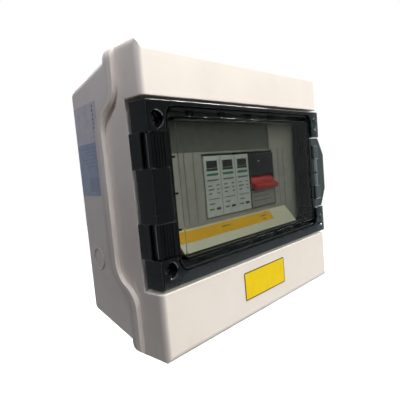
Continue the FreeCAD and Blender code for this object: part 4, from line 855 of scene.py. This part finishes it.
def make_lamps():
    make_lamp("key_lamp", KEY_PLACE, KEY_SIZE, KEY_POWER, KEY_COLOUR)
    make_lamp("edge_lamp", EDGE_PLACE, EDGE_SIZE, EDGE_POWER, KEY_COLOUR)
    make_lamp("front_lamp", FRONT_PLACE, FRONT_SIZE, FRONT_POWER, FILL_COLOUR)
    make_lamp("fill_lamp", FILL_PLACE, FILL_SIZE, FILL_POWER, FILL_COLOUR)
    make_lamp("back_lamp", BACK_PLACE, BACK_SIZE, BACK_POWER, KEY_COLOUR)


def seen_directly(tree):
    """1 for what the camera, a reflection or glass sees, and 0 for diffuse light."""
    rays = tree.nodes.new("ShaderNodeLightPath")
    total = rays.outputs["Is Camera Ray"]
    for name in ("Is Glossy Ray", "Is Transmission Ray"):
        join = tree.nodes.new("ShaderNodeMath")
        join.operation = "MAXIMUM"
        tree.links.new(total, join.inputs[0])
        tree.links.new(rays.outputs[name], join.inputs[1])
        total = join.outputs[0]
    return total


def make_room():
    """White to the eye, and a dim cool room to the object's shaded sides."""
    world = bpy.data.worlds.new("room")
    bpy.context.scene.world = world
    world.use_nodes = True
    tree = world.node_tree
    background = tree.nodes["Background"]
    place = tree.nodes.new("ShaderNodeTexCoord")
    parts = tree.nodes.new("ShaderNodeSeparateXYZ")
    tree.links.new(place.outputs["Generated"], parts.inputs[0])
    height = tree.nodes.new("ShaderNodeMapRange")
    height.inputs["From Min"].default_value = -ROOM_SPREAD
    height.inputs["From Max"].default_value = ROOM_SPREAD
    tree.links.new(parts.outputs["Z"], height.inputs["Value"])
    room = tree.nodes.new("ShaderNodeMix")
    room.data_type = "RGBA"
    tree.links.new(height.outputs[0], room.inputs[0])
    room.inputs[6].default_value = ROOM_BELOW
    room.inputs[7].default_value = ROOM_ABOVE
    shown = tree.nodes.new("ShaderNodeMix")
    shown.data_type = "RGBA"
    tree.links.new(seen_directly(tree), shown.inputs[0])
    tree.links.new(room.outputs[2], shown.inputs[6])
    shown.inputs[7].default_value = (1, 1, 1, 1)
    tree.links.new(shown.outputs[2], background.inputs["Color"])
    background.inputs["Strength"].default_value = 1.0


def make_floor():
    look = Look("floor_look")
    seen = seen_directly(look.tree)
    pale = look.blend(seen, FLOOR_TONE, FLOOR_WHITE)
    reach = look.node("ShaderNodeVectorMath", operation="LENGTH")
    look.put(look.place, reach.inputs[0])
    glow = look.ramp(reach.outputs["Value"], FLOOR_GLOW_REACH, FLOOR_GLOW)
    look.finish(pale, STAGE_ROUGH, Specular_IOR_Level=0.0, Emission_Color=FLOOR_WHITE,
                Emission_Strength=look.maths("MULTIPLY", seen, glow))
    floor = plate("floor", Vector((0, 0, -FLOOR_DROP)), X, Y, (2 * FLOOR_HALF, 2 * FLOOR_HALF),
                  FLOOR_THICK, FLOOR_CORNER, STAGE_EDGE_SHARE * FLOOR_THICK)
    floor.data.materials.append(look.material)


def make_screens():
    for side, place, strength in SCREENS:
        name = "screen_" + side
        look = Look(name + "_look")
        cloth = look.blend(look.noise(SCREEN_WEAVE), CLOTH, CLOTH_PALE)
        glow = look.maths("MULTIPLY", seen_directly(look.tree), strength)
        look.finish(cloth, STAGE_ROUGH, Specular_IOR_Level=0.0, Emission_Color=SCREEN_LIGHT,
                    Emission_Strength=glow)
        centre = Vector(place)
        facing = Vector((-centre.x, -centre.y, 0)).normalized()
        screen = plate(name, centre, Z.cross(facing), Z, SCREEN_SIZE, SCREEN_THICK,
                       SCREEN_CORNER, STAGE_EDGE_SHARE * SCREEN_THICK)
        screen.data.materials.append(look.material)
        screen.visible_camera = False
        screen.visible_transmission = False


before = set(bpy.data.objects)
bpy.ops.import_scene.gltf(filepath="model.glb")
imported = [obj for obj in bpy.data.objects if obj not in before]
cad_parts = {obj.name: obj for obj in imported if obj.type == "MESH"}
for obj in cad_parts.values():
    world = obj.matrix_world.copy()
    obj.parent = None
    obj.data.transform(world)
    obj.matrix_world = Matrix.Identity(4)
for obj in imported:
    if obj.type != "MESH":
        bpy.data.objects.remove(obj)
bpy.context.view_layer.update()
bpy.context.scene.view_settings.view_transform = "Standard"
make_camera()
make_room()
make_lamps()
make_floor()
make_screens()
looks = dress_nodes(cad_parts)
make_shade_sheet()
make_front_plate()
make_ledge_strip()
make_side_label()
make_latch_stops(looks["window_frame"])
